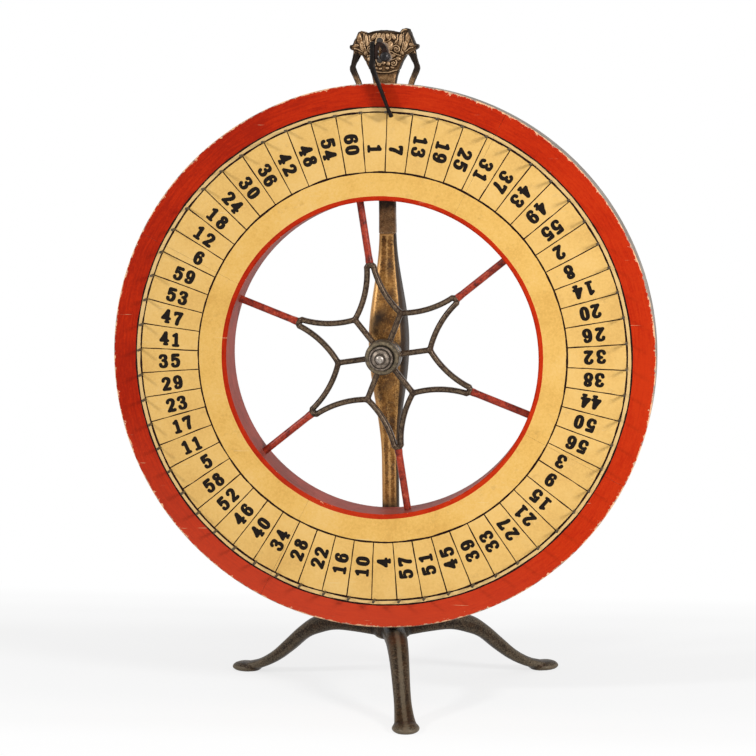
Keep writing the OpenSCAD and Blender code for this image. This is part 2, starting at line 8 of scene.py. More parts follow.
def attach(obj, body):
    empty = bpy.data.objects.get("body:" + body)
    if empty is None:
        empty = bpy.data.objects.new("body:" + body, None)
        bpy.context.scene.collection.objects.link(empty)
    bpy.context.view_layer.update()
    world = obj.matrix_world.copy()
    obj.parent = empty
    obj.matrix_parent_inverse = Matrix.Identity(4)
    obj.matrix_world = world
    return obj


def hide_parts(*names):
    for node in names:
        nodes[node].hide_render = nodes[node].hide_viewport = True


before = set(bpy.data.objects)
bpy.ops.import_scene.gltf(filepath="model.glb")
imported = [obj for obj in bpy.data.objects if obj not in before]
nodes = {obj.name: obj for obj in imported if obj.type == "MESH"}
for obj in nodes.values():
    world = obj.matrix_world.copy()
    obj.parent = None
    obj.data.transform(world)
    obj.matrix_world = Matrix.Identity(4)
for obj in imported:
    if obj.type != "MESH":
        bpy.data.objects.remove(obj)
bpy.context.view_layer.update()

scene = bpy.context.scene
mm = 0.001
axleUp = 393.0  # height of the axle above the table, in mm
postBack = 43.01  # how far the post stands behind the wheel's middle plane
toAxle = np.array([0, 0, axleUp])
toPost = np.array([0, postBack, 0])


def hexColour(code):
    # sRGB hex to the linear values that a shader socket takes
    part = np.array([int(code[i:i + 2], 16) for i in (1, 3, 5)]) / 255
    linear = np.where(part <= 0.04045, part / 12.92, ((part + 0.055) / 1.055) ** 2.4)
    return (*linear, 1.0)


def addNode(tree, kind, links=None, out=0, stops=None, **settings):
    # adds one shader node, sets its options, its ramp stops and its sockets, and gives an output
    node = tree.nodes.new("ShaderNode" + kind)
    for key, value in settings.items():
        setattr(node, key, value)
    if stops:
        ramp = node.color_ramp
        while len(ramp.elements) < len(stops):
            ramp.elements.new(1.0)
        for element, (place, code) in zip(ramp.elements, stops):
            element.position = place
            element.color = hexColour(code) if isinstance(code, str) else (code, code, code, 1)
    for key, value in (links or {}).items():
        if isinstance(value, bpy.types.NodeSocket):
            tree.links.new(value, node.inputs[key])
        else:
            node.inputs[key].default_value = hexColour(value) if isinstance(value, str) else value
    return node.outputs[out] if node.outputs else node


# a Mix node for colours takes them at sockets 6 and 7, and gives the result at output 2
asColour = {"out": 2, "data_type": "RGBA"}


def emptyTree(owner):
    # the node tree of a material or of the world, with nothing in it
    owner.use_nodes = True
    owner.node_tree.nodes.clear()
    return owner.node_tree


def newMaterial(name):
    # an empty material with its tree, and the object's own position in mm from the axle, so that
    # the Scale of a noise is 1 over the size of its spots in mm
    material = bpy.data.materials.new(name)
    tree = emptyTree(material)
    place = addNode(tree, "TexCoord", out="Object")
    place = addNode(tree, "Mapping", {
        "Vector": place, "Location": (0, 0, -axleUp), "Scale": (1000, 1000, 1000)})
    return material, tree, place


def finishMaterial(tree, height, strength, depth, sockets):
    # the main shader with these sockets, under fine relief of that depth in mm
    bump = addNode(tree, "Bump", {"Height": height, "Strength": strength, "Distance": depth * mm})
    shader = addNode(tree, "BsdfPrincipled", {"Normal": bump, **sockets})
    addNode(tree, "OutputMaterial", {"Surface": shader})


def smoothPath(points, steps):
    # Catmull-Rom curve through rows of points, steps pieces between two rows
    rows = np.asarray(points, float)
    rows = np.vstack([2 * rows[0] - rows[1], rows, 2 * rows[-1] - rows[-2]])
    u = np.linspace(0, 1, steps, endpoint=False)[None, :, None]
    a, b, c, d = (rows[i:len(rows) - 3 + i][:, None, :] for i in range(4))
    curve = 0.5 * (2 * b + (c - a) * u + (2 * a - 5 * b + 4 * c - d) * u ** 2
                   + (3 * b - a - 3 * c + d) * u ** 3)
    return np.vstack([curve.reshape(-1, rows.shape[1]), rows[-2]])


def latticeNoise(points, size, seed):
    # value noise: random numbers on a cubic lattice, blended with 3u^2 - 2u^3, from -1 to 1
    table = np.random.default_rng(seed).uniform(-1, 1, 4096)
    scaled = points / size
    cell = np.floor(scaled).astype(np.int64)
    f = scaled - cell
    f = f * f * (3 - 2 * f)
    total = np.zeros(len(points))
    for corner in range(8):
        bits = np.array([(corner >> axis) & 1 for axis in range(3)])
        c = cell + bits
        pick = (c[:, 0] * 73856093 ^ c[:, 1] * 19349663 ^ c[:, 2] * 83492791) & 4095
        total += np.prod(np.where(bits, f, 1 - f), axis=1) * table[pick]
    return total


def smoothStep(x, low, high):
    # 0 below low, 1 above high, and 3t^2 - 2t^3 between them
    t = np.clip((x - low) / (high - low), 0, 1)
    return t * t * (3 - 2 * t)


def fat(v, power):
    # a wave whose power below 1 fattens an ellipse towards a rectangle
    return np.sign(v) * np.abs(v) ** power


def ovalDistance(points, x, up, across, along, lean):
    # squared distance from the middle of a leaning oval, 1 on its edge
    c, s = math.cos(math.radians(lean)), math.sin(math.radians(lean))
    px, pz = points[:, 0] - x, points[:, 1] - up
    return ((px * c - pz * s) / across) ** 2 + ((px * s + pz * c) / along) ** 2


def circle(sides):
    # evenly spaced angles round a full turn
    return np.linspace(0, math.tau, sides, endpoint=False)


def shell(rings):
    # closed skin over rings[n, m, 3]: quads between rings and a fan round a centre at each end
    n, m = rings.shape[:2]
    verts = np.vstack([rings.reshape(-1, 3), rings[0].mean(0), rings[-1].mean(0)])
    i, k = np.meshgrid(np.arange(n - 1), np.arange(m), indexing="ij")
    after = (k + 1) % m
    quads = np.stack([i * m + k, i * m + after, (i + 1) * m + after, (i + 1) * m + k], -1)
    ring = np.arange(m)
    nextRing = (ring + 1) % m
    first = np.stack([nextRing, ring, np.full(m, n * m)], -1)
    last = np.stack([(n - 1) * m + ring, (n - 1) * m + nextRing, np.full(m, n * m + 1)], -1)
    return verts, quads.reshape(-1, 4).tolist() + first.tolist() + last.tolist()


def joinShells(shells):
    # several shells as one list of vertices and one of faces
    verts, faces, base = [], [], 0
    for v, f in shells:
        verts.append(v)
        faces += [[k + base for k in face] for face in f]
        base += len(v)
    return np.vstack(verts), faces


def newObject(name, data):
    obj = bpy.data.objects.new(name, data)
    scene.collection.objects.link(obj)
    return obj


def makeObject(name, verts, faces, smooth=True):
    # verts are in mm, from the table under the axle
    mesh = bpy.data.meshes.new(name)
    mesh.from_pydata((np.asarray(verts) * mm).tolist(), [], faces)
    mesh.validate()
    mesh.update()
    if smooth:
        mesh.shade_smooth()
    return newObject(name, mesh)


def applyModifiers(obj):
    # puts the mesh that the modifiers make in place of the old one
    bpy.context.view_layer.update()
    made = bpy.data.meshes.new_from_object(
        obj.evaluated_get(bpy.context.evaluated_depsgraph_get()))
    obj.modifiers.clear()
    old = obj.data
    obj.data = made
    made.name = obj.name
    bpy.data.meshes.remove(old)


def castBlend(obj, voxel, passes):
    # voxel remesh melts the shells into one skin, and smoothing rounds it as sand casting does
    remesh = obj.modifiers.new("melt", "REMESH")
    remesh.mode = "VOXEL"
    remesh.voxel_size = voxel * mm
    soften = obj.modifiers.new("soften", "SMOOTH")
    soften.factor = 0.5
    soften.iterations = passes
    applyModifiers(obj)
    obj.data.shade_smooth()


def readMesh(obj):
    # vertices in mm, their normals, and the two ends of each edge
    mesh = obj.data
    co = np.zeros(len(mesh.vertices) * 3)
    mesh.vertices.foreach_get("co", co)
    normal = np.zeros(len(mesh.vertices) * 3)
    mesh.vertices.foreach_get("normal", normal)
    edges = np.zeros(len(mesh.edges) * 2, int)
    mesh.edges.foreach_get("vertices", edges)
    return co.reshape(-1, 3) / mm, normal.reshape(-1, 3), edges.reshape(-1, 2)


def writeMesh(obj, co):
    obj.data.vertices.foreach_set("co", (co * mm).ravel())
    obj.data.update()


def neighbourMean(values, edges):
    # the mean of each vertex's neighbours
    count = len(values)
    total = np.zeros_like(values)
    for col in range(values.shape[1]):
        total[:, col] = (np.bincount(edges[:, 0], values[edges[:, 1], col], count)
                         + np.bincount(edges[:, 1], values[edges[:, 0], col], count))
    links = np.bincount(edges.ravel(), minlength=count)
    return total / np.maximum(links, 1)[:, None]


def fillCreases(obj, passes, where):
    # moves a vertex out to its neighbours' mean where that lies outside the skin, so that inner
    # corners fill up like the fillets of a pattern and outer ones stay
    for _ in range(passes):
        co, normal, edges = readMesh(obj)
        step = neighbourMean(co, edges) - co
        out = np.maximum(np.einsum("ij,ij->i", step, normal), 0)
        co += normal * (out * where(co))[:, None]
        writeMesh(obj, co)


def setAttribute(obj, name, values):
    # a value from 0 to 1 at each vertex, which a material reads by its name
    attribute = obj.data.attributes.new(name, "FLOAT", "POINT")
    attribute.data.foreach_set("value", np.clip(values, 0, 1))


def bendOf(obj, reach):
    # distance between a vertex and the mean of its neighbours along the normal, below 0 on
    # outward corners, spread over reach steps
    co, normal, edges = readMesh(obj)
    bend = np.einsum("ij,ij->i", neighbourMean(co, edges) - co, normal)[:, None]
    for _ in range(reach):
        bend = 0.4 * bend + 0.6 * neighbourMean(bend, edges)
    return bend[:, 0]


def markWear(obj, reach, gain, relief=0.0):
    # attribute wearAndHighlight: 1 on outward corners and high relief, 0 in hollows, 0.5 on flats, plus
    # relief, which on the post is a painted highlight
    setAttribute(obj, "wearAndHighlight", 0.5 - bendOf(obj, reach) * gain + relief)


def copyNode(node, name):
    # a merged copy of a CAD node's mesh, to be dressed
    mesh = nodes[node].data.copy()
    mesh.name = name
    mesh.materials.clear()
    obj = newObject(name, mesh)
    weld = obj.modifiers.new("weld", "WELD")
    weld.merge_threshold = 1e-6
    applyModifiers(obj)
    return obj


def settle(obj, body, slot, material, *replaced):
    # gives a new piece its finish and its body, and hides the CAD nodes that it stands for; slot is not used
    obj.data.materials.clear()
    obj.data.materials.append(material)
    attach(obj, body)
    if replaced:
        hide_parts(*replaced)


def dress(material, *names):
    # gives a finish to CAD nodes that are shown as they are
    for name in names:
        if not nodes[name].material_slots:
            nodes[name].data.materials.append(material)
        for one in nodes[name].material_slots:
            one.material = material


# Painted poplar: flat oil paint over wood, mustard face, red edges, hand-ruled dark lines.
# The eye sees soft mottling, brush marks, rubbed corners and chips down to the pale wood.
dial = {
    "yellow": "#EDBD66", "yellowDeep": "#DEAC58", "yellowLight": "#F2C678", "grime": "#A87C44",
    "cell": "#EDCC8E", "cream": "#E6C286",
    "red": "#BE2803", "redDeep": "#A41D02", "redLight": "#CA3308", "redLow": "#CC4C30",
    "shade": 0.81, "bright": 0.895,  # painted shade: share of its brightness that the face keeps, on the left and on the right
    "pale": "#E9B98F", "bare": "#9A8C80", "line": "#1E0A06", "scratch": "#F3D8A4",
    # the bore's colours are red paint paled by a painted reflection of the white surroundings
    "side": "#9C9288", "sideDark": "#64594F", "bore": "#A2483C", "boreDark": "#783A30",
    # radii of the painted zones, and radius and half width of each ruled ring, in mm
    "redIn": 182.2, "cellIn": 209.0, "cellOut": 275.3, "yellowOut": 280.6, "outside": 307.0,
    "middle": 240.0, "rings": [(209.0, 1.06), (275.3, 1.08), (280.8, 0.95)],
    # rays between the cells: half width, their turn from the top, and where they would meet
    "rayHalf": 0.66, "rayTurn": 2.45, "rayMeet": (-1.75, 0, -0.1), "raySway": 0.0032, "cells": 60,
    # how far ruled lines wander in mm, and the least and most of their width as shares
    "wander": 1.3, "penLeast": 0.65, "penMost": 1.3,
    "strokes": 14,  # brush marks round the wheel, about so many for each radian
    # direction and reach in mm of the painted shade across the face, and of the paler red low down with its
    # share
    "lightAlong": (0.94, 0, -0.34), "lightReach": (-300, 200),
    "lowAlong": (-0.3, 0, -0.95), "lowReach": (140, 285), "lowShare": 0.55,
    # chips at each corner: the radii where they start and are most, and by how much
    "innerChips": (181, 177.5, 0.11), "outerChips": (299, 306.5, 0.17),
    "ragged": 9.0, "rubStart": 3.2,  # how ragged the rubbed corner's line is, and where it starts
}


def roundAxle(tree, place):
    # the place without its depth, and its distance from the axle
    flat = addNode(tree, "VectorMath", {0: place, 1: (1, 0, 1)}, operation="MULTIPLY")
    return flat, addNode(tree, "VectorMath", {0: flat}, out="Value", operation="LENGTH")


def brushMarks(tree, flat, across):
    # marks of a brush that ran round the wheel: noise stretched along the circle
    ahead = addNode(tree, "VectorMath", {0: flat}, operation="NORMALIZE")
    across = addNode(tree, "Math", {0: across, 1: 0.5}, operation="MULTIPLY")
    across = addNode(tree, "CombineXYZ", {"Y": across})
    often = (dial["strokes"],) * 3
    marks = addNode(tree, "VectorMath", {0: ahead, 1: often, 2: across}, operation="MULTIPLY_ADD")
    return addNode(tree, "TexNoise", {"Vector": marks, "Scale": 1.0, "Detail": 5, "Roughness": 0.65})


def rimSides(tree, cloud, brush, radius, face, facing):
    # the face's finish where the surface faces that way, grey rubbed wood on the outer side and
    # a dull mauve red in the bore, which is red paint paled by a painted reflection of the white surroundings
    s = dial
    tone = addNode(tree, "Mix", {0: 0.6, 2: cloud, 3: brush})
    outside = addNode(tree, "ValToRGB", {0: tone}, stops=[(0.4, s["sideDark"]), (0.58, s["side"])])
    bore = addNode(tree, "ValToRGB", {0: tone}, stops=[(0.4, s["boreDark"]), (0.6, s["bore"])])
    isOuter = addNode(tree, "Math", {0: radius, 1: s["middle"]}, operation="GREATER_THAN")
    side = addNode(tree, "Mix", {0: isOuter, 6: bore, 7: outside}, **asColour)
    normal = addNode(tree, "NewGeometry", out="True Normal")
    toFace = addNode(tree, "SeparateXYZ", {0: normal}, out="Y")
    toFace = addNode(tree, "MapRange", {"Value": toFace, **facing})
    return addNode(tree, "Mix", {0: toFace, 6: side, 7: face}, **asColour)


def dialPaint():
    s = dial
    material, t, place = newMaterial("painted_poplar_dial")
    # lines ruled by hand wander by a fraction of a millimetre and change in width
    wander = addNode(t, "TexNoise", {"Vector": place, "Scale": 0.03, "Detail": 2}, out="Color")
    wander = addNode(t, "VectorMath", {0: wander, 1: (0.5, 0.5, 0.5)}, operation="SUBTRACT")
    reach = (s["wander"],) * 3
    bent = addNode(t, "VectorMath", {0: wander, 1: reach, 2: place}, operation="MULTIPLY_ADD")
    flat, radius = roundAxle(t, bent)
    pen = addNode(t, "TexNoise", {"Vector": place, "Scale": 0.06, "Detail": 4})
    pen = addNode(t, "MapRange", {
        "Value": pen, "From Min": 0.3, "From Max": 0.7, "To Min": s["penLeast"], "To Max": s["penMost"]})

    # the rays: the angle round their meeting point, folded into one cell
    spot = addNode(t, "VectorMath", {0: bent, 1: s["rayMeet"]}, operation="SUBTRACT")
    spot = addNode(t, "SeparateXYZ", {0: spot}).node.outputs
    angle = addNode(t, "Math", {0: spot["Z"], 1: spot["X"]}, operation="ARCTAN2")
    sway = addNode(t, "Math", {0: angle, 1: 2.0}, operation="MULTIPLY")
    sway = addNode(t, "Math", {0: sway}, operation="SINE")
    angle = addNode(t, "Math", {0: sway, 1: s["raySway"], 2: angle}, operation="MULTIPLY_ADD")
    first = math.radians(90 - s["rayTurn"])
    angle = addNode(t, "Math", {0: angle, 1: first}, operation="SUBTRACT")
    ray = addNode(t, "Math", {0: angle, 1: math.pi / s["cells"]}, operation="PINGPONG")
    ray = addNode(t, "Math", {0: ray, 1: radius}, operation="MULTIPLY")
    rayPen = addNode(t, "Math", {0: pen, 1: s["rayHalf"]}, operation="MULTIPLY")
    lines = addNode(t, "Math", {0: ray, 1: rayPen}, operation="LESS_THAN")

    # 1 where the radius lies in the zone
    zones = [(s["cellIn"], s["cellOut"]), (s["cellOut"], s["yellowOut"]), (s["redIn"], s["yellowOut"])]
    inCells, isCream, isYellow = [addNode(t, "Math", {
        0: radius, 1: (low + high) / 2, 2: (high - low) / 2}, operation="COMPARE") for low, high in zones]
    lines = addNode(t, "Math", {0: lines, 1: inCells}, operation="MULTIPLY")
    for at, half in s["rings"]:
        ring = addNode(t, "Math", {0: pen, 1: half}, operation="MULTIPLY")
        ring = addNode(t, "Math", {0: radius, 1: at, 2: ring}, operation="COMPARE")
        lines = addNode(t, "Math", {0: lines, 1: ring}, operation="MAXIMUM")

    deep = addNode(t, "SeparateXYZ", {0: place}, out="Y")
    across = addNode(t, "Math", {0: radius, 1: deep}, operation="ADD")
    brush = brushMarks(t, flat, across)
    cloud, fine, dirt, ragged = [addNode(t, "TexNoise", {
        "Vector": place, "Scale": scale, "Detail": detail, "Roughness": rough})
        for scale, detail, rough in ((0.02, 5, 0.5), (0.4, 6, 0.7), (0.09, 7, 0.72), (0.17, 8, 0.78))]
    tone = addNode(t, "Mix", {0: 0.5, 2: cloud, 3: fine})
    # painted shade: the face is darker towards the upper left, where less light falls, and its red is lighter
    # towards the lower right
    towardLight = addNode(t, "VectorMath", {0: place, 1: s["lightAlong"]}, out="Value", operation="DOT_PRODUCT")
    redTone = addNode(t, "Mix", {0: 0.45, 2: tone, 3: brush})
    redTone = addNode(t, "Math", {0: towardLight, 1: 0.0003, 2: redTone}, operation="MULTIPLY_ADD")
    yellow = addNode(t, "ValToRGB", {0: tone}, stops=[
        (0.36, s["yellowDeep"]), (0.5, s["yellow"]), (0.64, s["yellowLight"])])
    dirty = addNode(t, "MapRange", {"Value": dirt, "From Min": 0.58, "From Max": 0.8, "To Max": 0.55})
    inCells = addNode(t, "Math", {0: inCells, 1: 0.2}, operation="MULTIPLY")
    isCream = addNode(t, "Math", {0: isCream, 1: 0.8}, operation="MULTIPLY")
    for share, coat in ((dirty, s["grime"]), (inCells, s["cell"]), (isCream, s["cream"])):
        yellow = addNode(t, "Mix", {0: share, 6: yellow, 7: coat}, **asColour)
    red = addNode(t, "ValToRGB", {0: redTone}, stops=[
        (0.38, s["redDeep"]), (0.5, s["red"]), (0.62, s["redLight"])])
    low = addNode(t, "VectorMath", {0: place, 1: s["lowAlong"]}, out="Value", operation="DOT_PRODUCT")
    start, full = s["lowReach"]
    low = addNode(t, "MapRange", {
        "Value": low, "From Min": start, "From Max": full, "To Max": s["lowShare"]})
    red = addNode(t, "Mix", {0: low, 6: red, 7: s["redLow"]}, **asColour)
    face = addNode(t, "Mix", {0: isYellow, 6: red, 7: yellow}, **asColour)

    # a few pale hairline scratches
    hair = addNode(t, "Mapping", {"Vector": place, "Rotation": (0, 0.6, 0), "Scale": (0.02, 0.1, 0.55)})
    hair = addNode(t, "TexNoise", {"Vector": hair, "Scale": 1.0, "Detail": 3})
    hair = addNode(t, "MapRange", {"Value": hair, "From Min": 0.735, "From Max": 0.76, "To Max": 0.7})
    face = addNode(t, "Mix", {0: hair, 6: face, 7: s["scratch"]}, **asColour)
    # painted shade: the whole face is scaled darker towards the upper left
    start, full = s["lightReach"]
    paintedShade = addNode(t, "MapRange", {
        "Value": towardLight, "From Min": start, "From Max": full, "To Min": s["shade"], "To Max": s["bright"]},
        interpolation_type="SMOOTHSTEP")
    face = addNode(t, "VectorMath", {0: face, "Scale": paintedShade}, operation="SCALE")

    # the outer corner is rubbed to bare wood beyond a ragged line, and both corners are chipped
    edge = addNode(t, "Math", {0: ragged, 1: s["ragged"], 2: radius}, operation="MULTIPLY_ADD")
    start = s["outside"] + s["rubStart"]
    rubbed = addNode(t, "MapRange", {"Value": edge, "From Min": start, "From Max": start + 0.5})
    worn = addNode(t, "ValToRGB", {0: dirt}, stops=[(0.42, s["bare"]), (0.5, s["pale"])])
    start, full, most = s["innerChips"]
    inner = addNode(t, "MapRange", {
        "Value": radius, "From Min": full, "From Max": start, "To Min": most, "To Max": 0})
    start, full, most = s["outerChips"]
    outer = addNode(t, "MapRange", {"Value": radius, "From Min": start, "From Max": full, "To Max": most})
    chip = addNode(t, "Math", {0: inner, 1: outer}, operation="ADD")
    chip = addNode(t, "Math", {0: chip, 1: ragged}, operation="ADD")
    chip = addNode(t, "MapRange", {"Value": chip, "From Min": 0.735, "From Max": 0.755})
    for share, coat in ((lines, s["line"]), (rubbed, worn), (chip, s["pale"])):
        face = addNode(t, "Mix", {0: share, 6: face, 7: coat}, **asColour)

    toFront = {"From Min": -0.6, "From Max": -0.2, "To Min": 1, "To Max": 0}
    colour = rimSides(t, cloud, brush, radius, face, toFront)
    rough = addNode(t, "MapRange", {"Value": fine, "To Min": 0.4, "To Max": 0.65})
    height = addNode(t, "Mix", {0: 0.35, 2: fine, 3: ragged})
    height = addNode(t, "Mix", {0: 0.3, 2: height, 3: brush})
    finishMaterial(t, height, 0.35, 0.3, {
        "Base Color": colour, "Roughness": rough, "IOR": 1.47, "Specular IOR Level": 0.1})
    return material


# Black stencil paint: thick, nearly flat, with a brown cast where it has worn thin.
stencil = {"black": "#0C0805", "brown": "#1C120A", "thin": "#38260F"}


def stencilPaint():
    s = stencil
    material, t, place = newMaterial("stencil_paint_black")
    noise = addNode(t, "TexNoise", {"Vector": place, "Scale": 0.5, "Detail": 6, "Roughness": 0.7})
    colour = addNode(t, "ValToRGB", {0: noise}, stops=[
        (0.4, s["black"]), (0.62, s["brown"]), (0.75, s["thin"])])
    rough = addNode(t, "MapRange", {"Value": noise, "To Min": 0.4, "To Max": 0.6})
    finishMaterial(t, noise, 0.3, 0.1, {
        "Base Color": colour, "Roughness": rough, "Specular IOR Level": 0.12})
    return material


# Thin barn-red wash on poplar: the grain runs along each lamination and shows through.
back = {"dark": "#45190F", "wash": "#74301F", "light": "#8E4A36", "chord": -27.6}


def backWood(number):
    # the grain runs along the chord of each quarter of the rim
    s = back
    material, t, place = newMaterial(f"washed_poplar_back_{number}")
    lie = math.radians(s["chord"] + 90 * number)
    grain = addNode(t, "Mapping", {"Vector": place, "Rotation": (0, lie, 0)})
    grain = addNode(t, "VectorMath", {0: grain, 1: (0.02, 0.3, 0.5)}, operation="MULTIPLY")
    grain = addNode(t, "TexNoise", {"Vector": grain, "Scale": 1.0, "Detail": 8, "Roughness": 0.7})
    cloud = addNode(t, "TexNoise", {"Vector": place, "Scale": 0.02, "Detail": 5})
    tone = addNode(t, "Mix", {0: 0.5, 2: grain, 3: cloud})
    wash = addNode(t, "ValToRGB", {0: tone}, stops=[
        (0.35, s["dark"]), (0.5, s["wash"]), (0.68, s["light"])])
    flat, radius = roundAxle(t, place)
    brush = brushMarks(t, flat, addNode(t, "SeparateXYZ", {0: place}, out="Y"))
    colour = rimSides(t, cloud, brush, radius, wash, {"From Min": 0.25, "From Max": 0.85})
    finishMaterial(t, grain, 0.35, 0.4, {
        "Base Color": colour, "Roughness": 0.62, "Specular IOR Level": 0.25})
    return material


def castMetal(name, s):
    # sand-cast iron under old bronze paint: dark in the hollows, brighter metal on rubbed corners and on
    # painted highlights, and near black where attribute sootAndShade is 1: soot and lost paint, and painted
    # shade and shadow on the post and the head's neck
    material, t, place = newMaterial(name)
    wearAndHighlight, sootAndShade = [addNode(t, "Attribute", out="Fac", attribute_name=each) for each in ("wearAndHighlight", "sootAndShade")]
    cloud, fine, grey = [addNode(t, "TexNoise", {
        "Vector": place, "Scale": scale, "Detail": detail, "Roughness": 0.7})
        for scale, detail in ((s["blotch"], 7), (s["grit"], 5), (s["blotch"] * 1.7, 6))]
    tone = addNode(t, "Mix", {0: 0.4, 2: cloud, 3: fine})
    paint = addNode(t, "ValToRGB", {0: tone}, stops=[
        (0.37, s["deep"]), (0.47, s["body"]), (0.6, s["high"])])
    rubbed = addNode(t, "Math", {0: wearAndHighlight, 1: fine}, operation="ADD")
    sootAndShade = addNode(t, "Math", {0: cloud, 1: -0.8, 2: sootAndShade}, operation="MULTIPLY_ADD")
    # each coat: what it follows, the values at which it starts and is full, its most, its colour
    coats = [(grey, 0.54, 0.68, s["greyed"], s["grey"]), (wearAndHighlight, 0.48, 0.2, 0.92, s["hollow"]),
             (rubbed, 1.06, 1.3, s["rub"], s["worn"]), (sootAndShade, -0.25, 0.35, 0.95, s["sootAndShade"])]
    for follows, start, full, most, code in coats:
        share = addNode(t, "MapRange", {
            "Value": follows, "From Min": start, "From Max": full, "To Max": most})
        paint = addNode(t, "Mix", {0: share, 6: paint, 7: code}, **asColour)
    # the last coat, soot and painted shade, is also dull and hides the metal
    roughness = addNode(t, "MapRange", {
        "Value": fine, "From Min": 0.3, "From Max": 0.7,
        "To Min": s["rough"] - 0.08, "To Max": s["rough"] + 0.12})
    roughness = addNode(t, "Math", {0: share, 1: 0.25, 2: roughness}, operation="MULTIPLY_ADD")
    metallic = addNode(t, "MapRange", {"Value": share, "To Min": s["metallic"], "To Max": 0})
    height = addNode(t, "Mix", {0: 0.5, 2: cloud, 3: fine})
    finishMaterial(t, height, s["bump"], 0.7, {
        "Base Color": paint, "Metallic": metallic, "Roughness": roughness, "Specular IOR Level": s["gloss"]})
    return material


def turnedSteel(name, s):
    # lathe-turned steel: fine rings round the wheel's axis, darker in rings at the listed radii, painted
    # shade in the grooves and recesses
    material, t, place = newMaterial(name)
    _, radius = roundAxle(t, place)
    rings = addNode(t, "Math", {0: radius, 1: math.tau / 0.5}, operation="MULTIPLY")  # 0.5 mm apart
    rings = addNode(t, "Math", {0: rings}, operation="SINE")
    cloud = addNode(t, "TexNoise", {"Vector": place, "Scale": 0.25, "Detail": 6, "Roughness": 0.7})
    colour = addNode(t, "ValToRGB", {0: cloud}, stops=[(0.4, s["dark"]), (0.6, s["light"])])
    if "zones" in s:  # radius in mm and share there of the dark colour, painted shade
        reach = 25.0
        dirt = addNode(t, "Math", {0: radius, 1: reach}, operation="DIVIDE")
        dirt = addNode(t, "ValToRGB", {0: dirt}, stops=[(r / reach, share) for r, share in s["zones"]])
        colour = addNode(t, "Mix", {0: dirt, 6: colour, 7: s["dirt"]}, **asColour)
    height = addNode(t, "Math", {0: rings, 1: 0.12, 2: cloud}, operation="MULTIPLY_ADD")
    roughness = addNode(t, "MapRange", {
        "Value": cloud, "To Min": s["rough"] - 0.1, "To Max": s["rough"] + 0.2})
    finishMaterial(t, height, 0.3, 0.2, {
        "Base Color": colour, "Metallic": s["metallic"], "Roughness": roughness,
        "Specular IOR Level": s["gloss"]})
    return material


# Red enamel brushed on steel rod: glossy, chipped to a pale ground, grimy along its edges.
rods = {"dark": "#561A10", "red": "#942C18", "light": "#AC4228", "chip": "#C88A6C", "bare": "#3A2018"}


def rodEnamel():
    s = rods
    material, t, place = newMaterial("red_enamel_rod")
    cloud, chip = [addNode(t, "TexNoise", {
        "Vector": place, "Scale": scale, "Detail": detail, "Roughness": rough})
        for scale, detail, rough in ((0.15, 6, 0.7), (0.3, 7, 0.75))]
    colour = addNode(t, "ValToRGB", {0: cloud}, stops=[
        (0.36, s["dark"]), (0.5, s["red"]), (0.64, s["light"])])
    for start, full, most, code in ((0.38, 0.34, 1.0, s["bare"]), (0.63, 0.66, 0.7, s["chip"])):
        share = addNode(t, "MapRange", {
            "Value": chip, "From Min": start, "From Max": full, "To Max": most})
        colour = addNode(t, "Mix", {0: share, 6: colour, 7: code}, **asColour)
    finishMaterial(t, chip, 0.5, 0.3, {
        "Base Color": colour, "Roughness": 0.36, "Specular IOR Level": 0.25})
    return material


# Vegetable-tanned strap leather, black with age: fine pebbled grain and a dull waxy sheen.
leather = {"deep": "#080504", "black": "#130D0A", "brown": "#2C2019"}


def strapLeather():
    s = leather
    material, t, place = newMaterial("waxed_strap_leather")
    pebble = addNode(t, "TexVoronoi", {"Vector": place, "Scale": 1.1}, out="Distance")
    crease = addNode(t, "TexNoise", {"Vector": place, "Scale": 0.18, "Detail": 6, "Roughness": 0.7})
    colour = addNode(t, "ValToRGB", {0: crease}, stops=[
        (0.38, s["deep"]), (0.54, s["black"]), (0.7, s["brown"])])
    height = addNode(t, "Mix", {0: 0.6, 2: pebble, 3: crease})
    finishMaterial(t, height, 0.5, 0.4, {
        "Base Color": colour, "Roughness": 0.5, "Specular IOR Level": 0.12})
    return material


# Iron and steel off the lathe, from the bright axle to browned pegs and the blackened lever.
turned = {
    # on the hub and its ring, the colour named dirt paints shade into grooves and recesses
    "hub": {"dark": "#5C5147", "light": "#968879", "rough": 0.38, "metallic": 0.6, "gloss": 0.5,
            "dirt": "#241D17",
            "zones": [(4.5, 0.9), (6.8, 0.2), (10.0, 0.1), (10.6, 0.85), (11.4, 0.6), (12.2, 0.0)]},
    "ring": {"dark": "#4A4032", "light": "#7E6F56", "rough": 0.42, "metallic": 0.5, "gloss": 0.5,
             "dirt": "#1C1611",
             "zones": [(12.0, 0.2), (13.4, 0.8), (14.6, 0.7), (15.4, 0.0), (18.4, 0.0), (19.2, 0.5)]},
    "axle": {"dark": "#7E756C", "light": "#B9B0A6", "rough": 0.3, "metallic": 0.85, "gloss": 0.5},
    "nut": {"dark": "#2A2522", "light": "#4A4440", "rough": 0.45, "metallic": 0.6, "gloss": 0.5},
    "peg": {"dark": "#332B20", "light": "#5E5240", "rough": 0.5, "metallic": 0.0, "gloss": 0.25},
    "rivet": {"dark": "#8A8580", "light": "#C8C4C0", "rough": 0.35, "metallic": 0.7, "gloss": 0.5},
    "bolt": {"dark": "#0E0C0D", "light": "#2C2828", "rough": 0.28, "metallic": 0.3, "gloss": 0.3},
    "lever": {"dark": "#0F0705", "light": "#2A1811", "rough": 0.4, "metallic": 0.0, "gloss": 0.15},
}
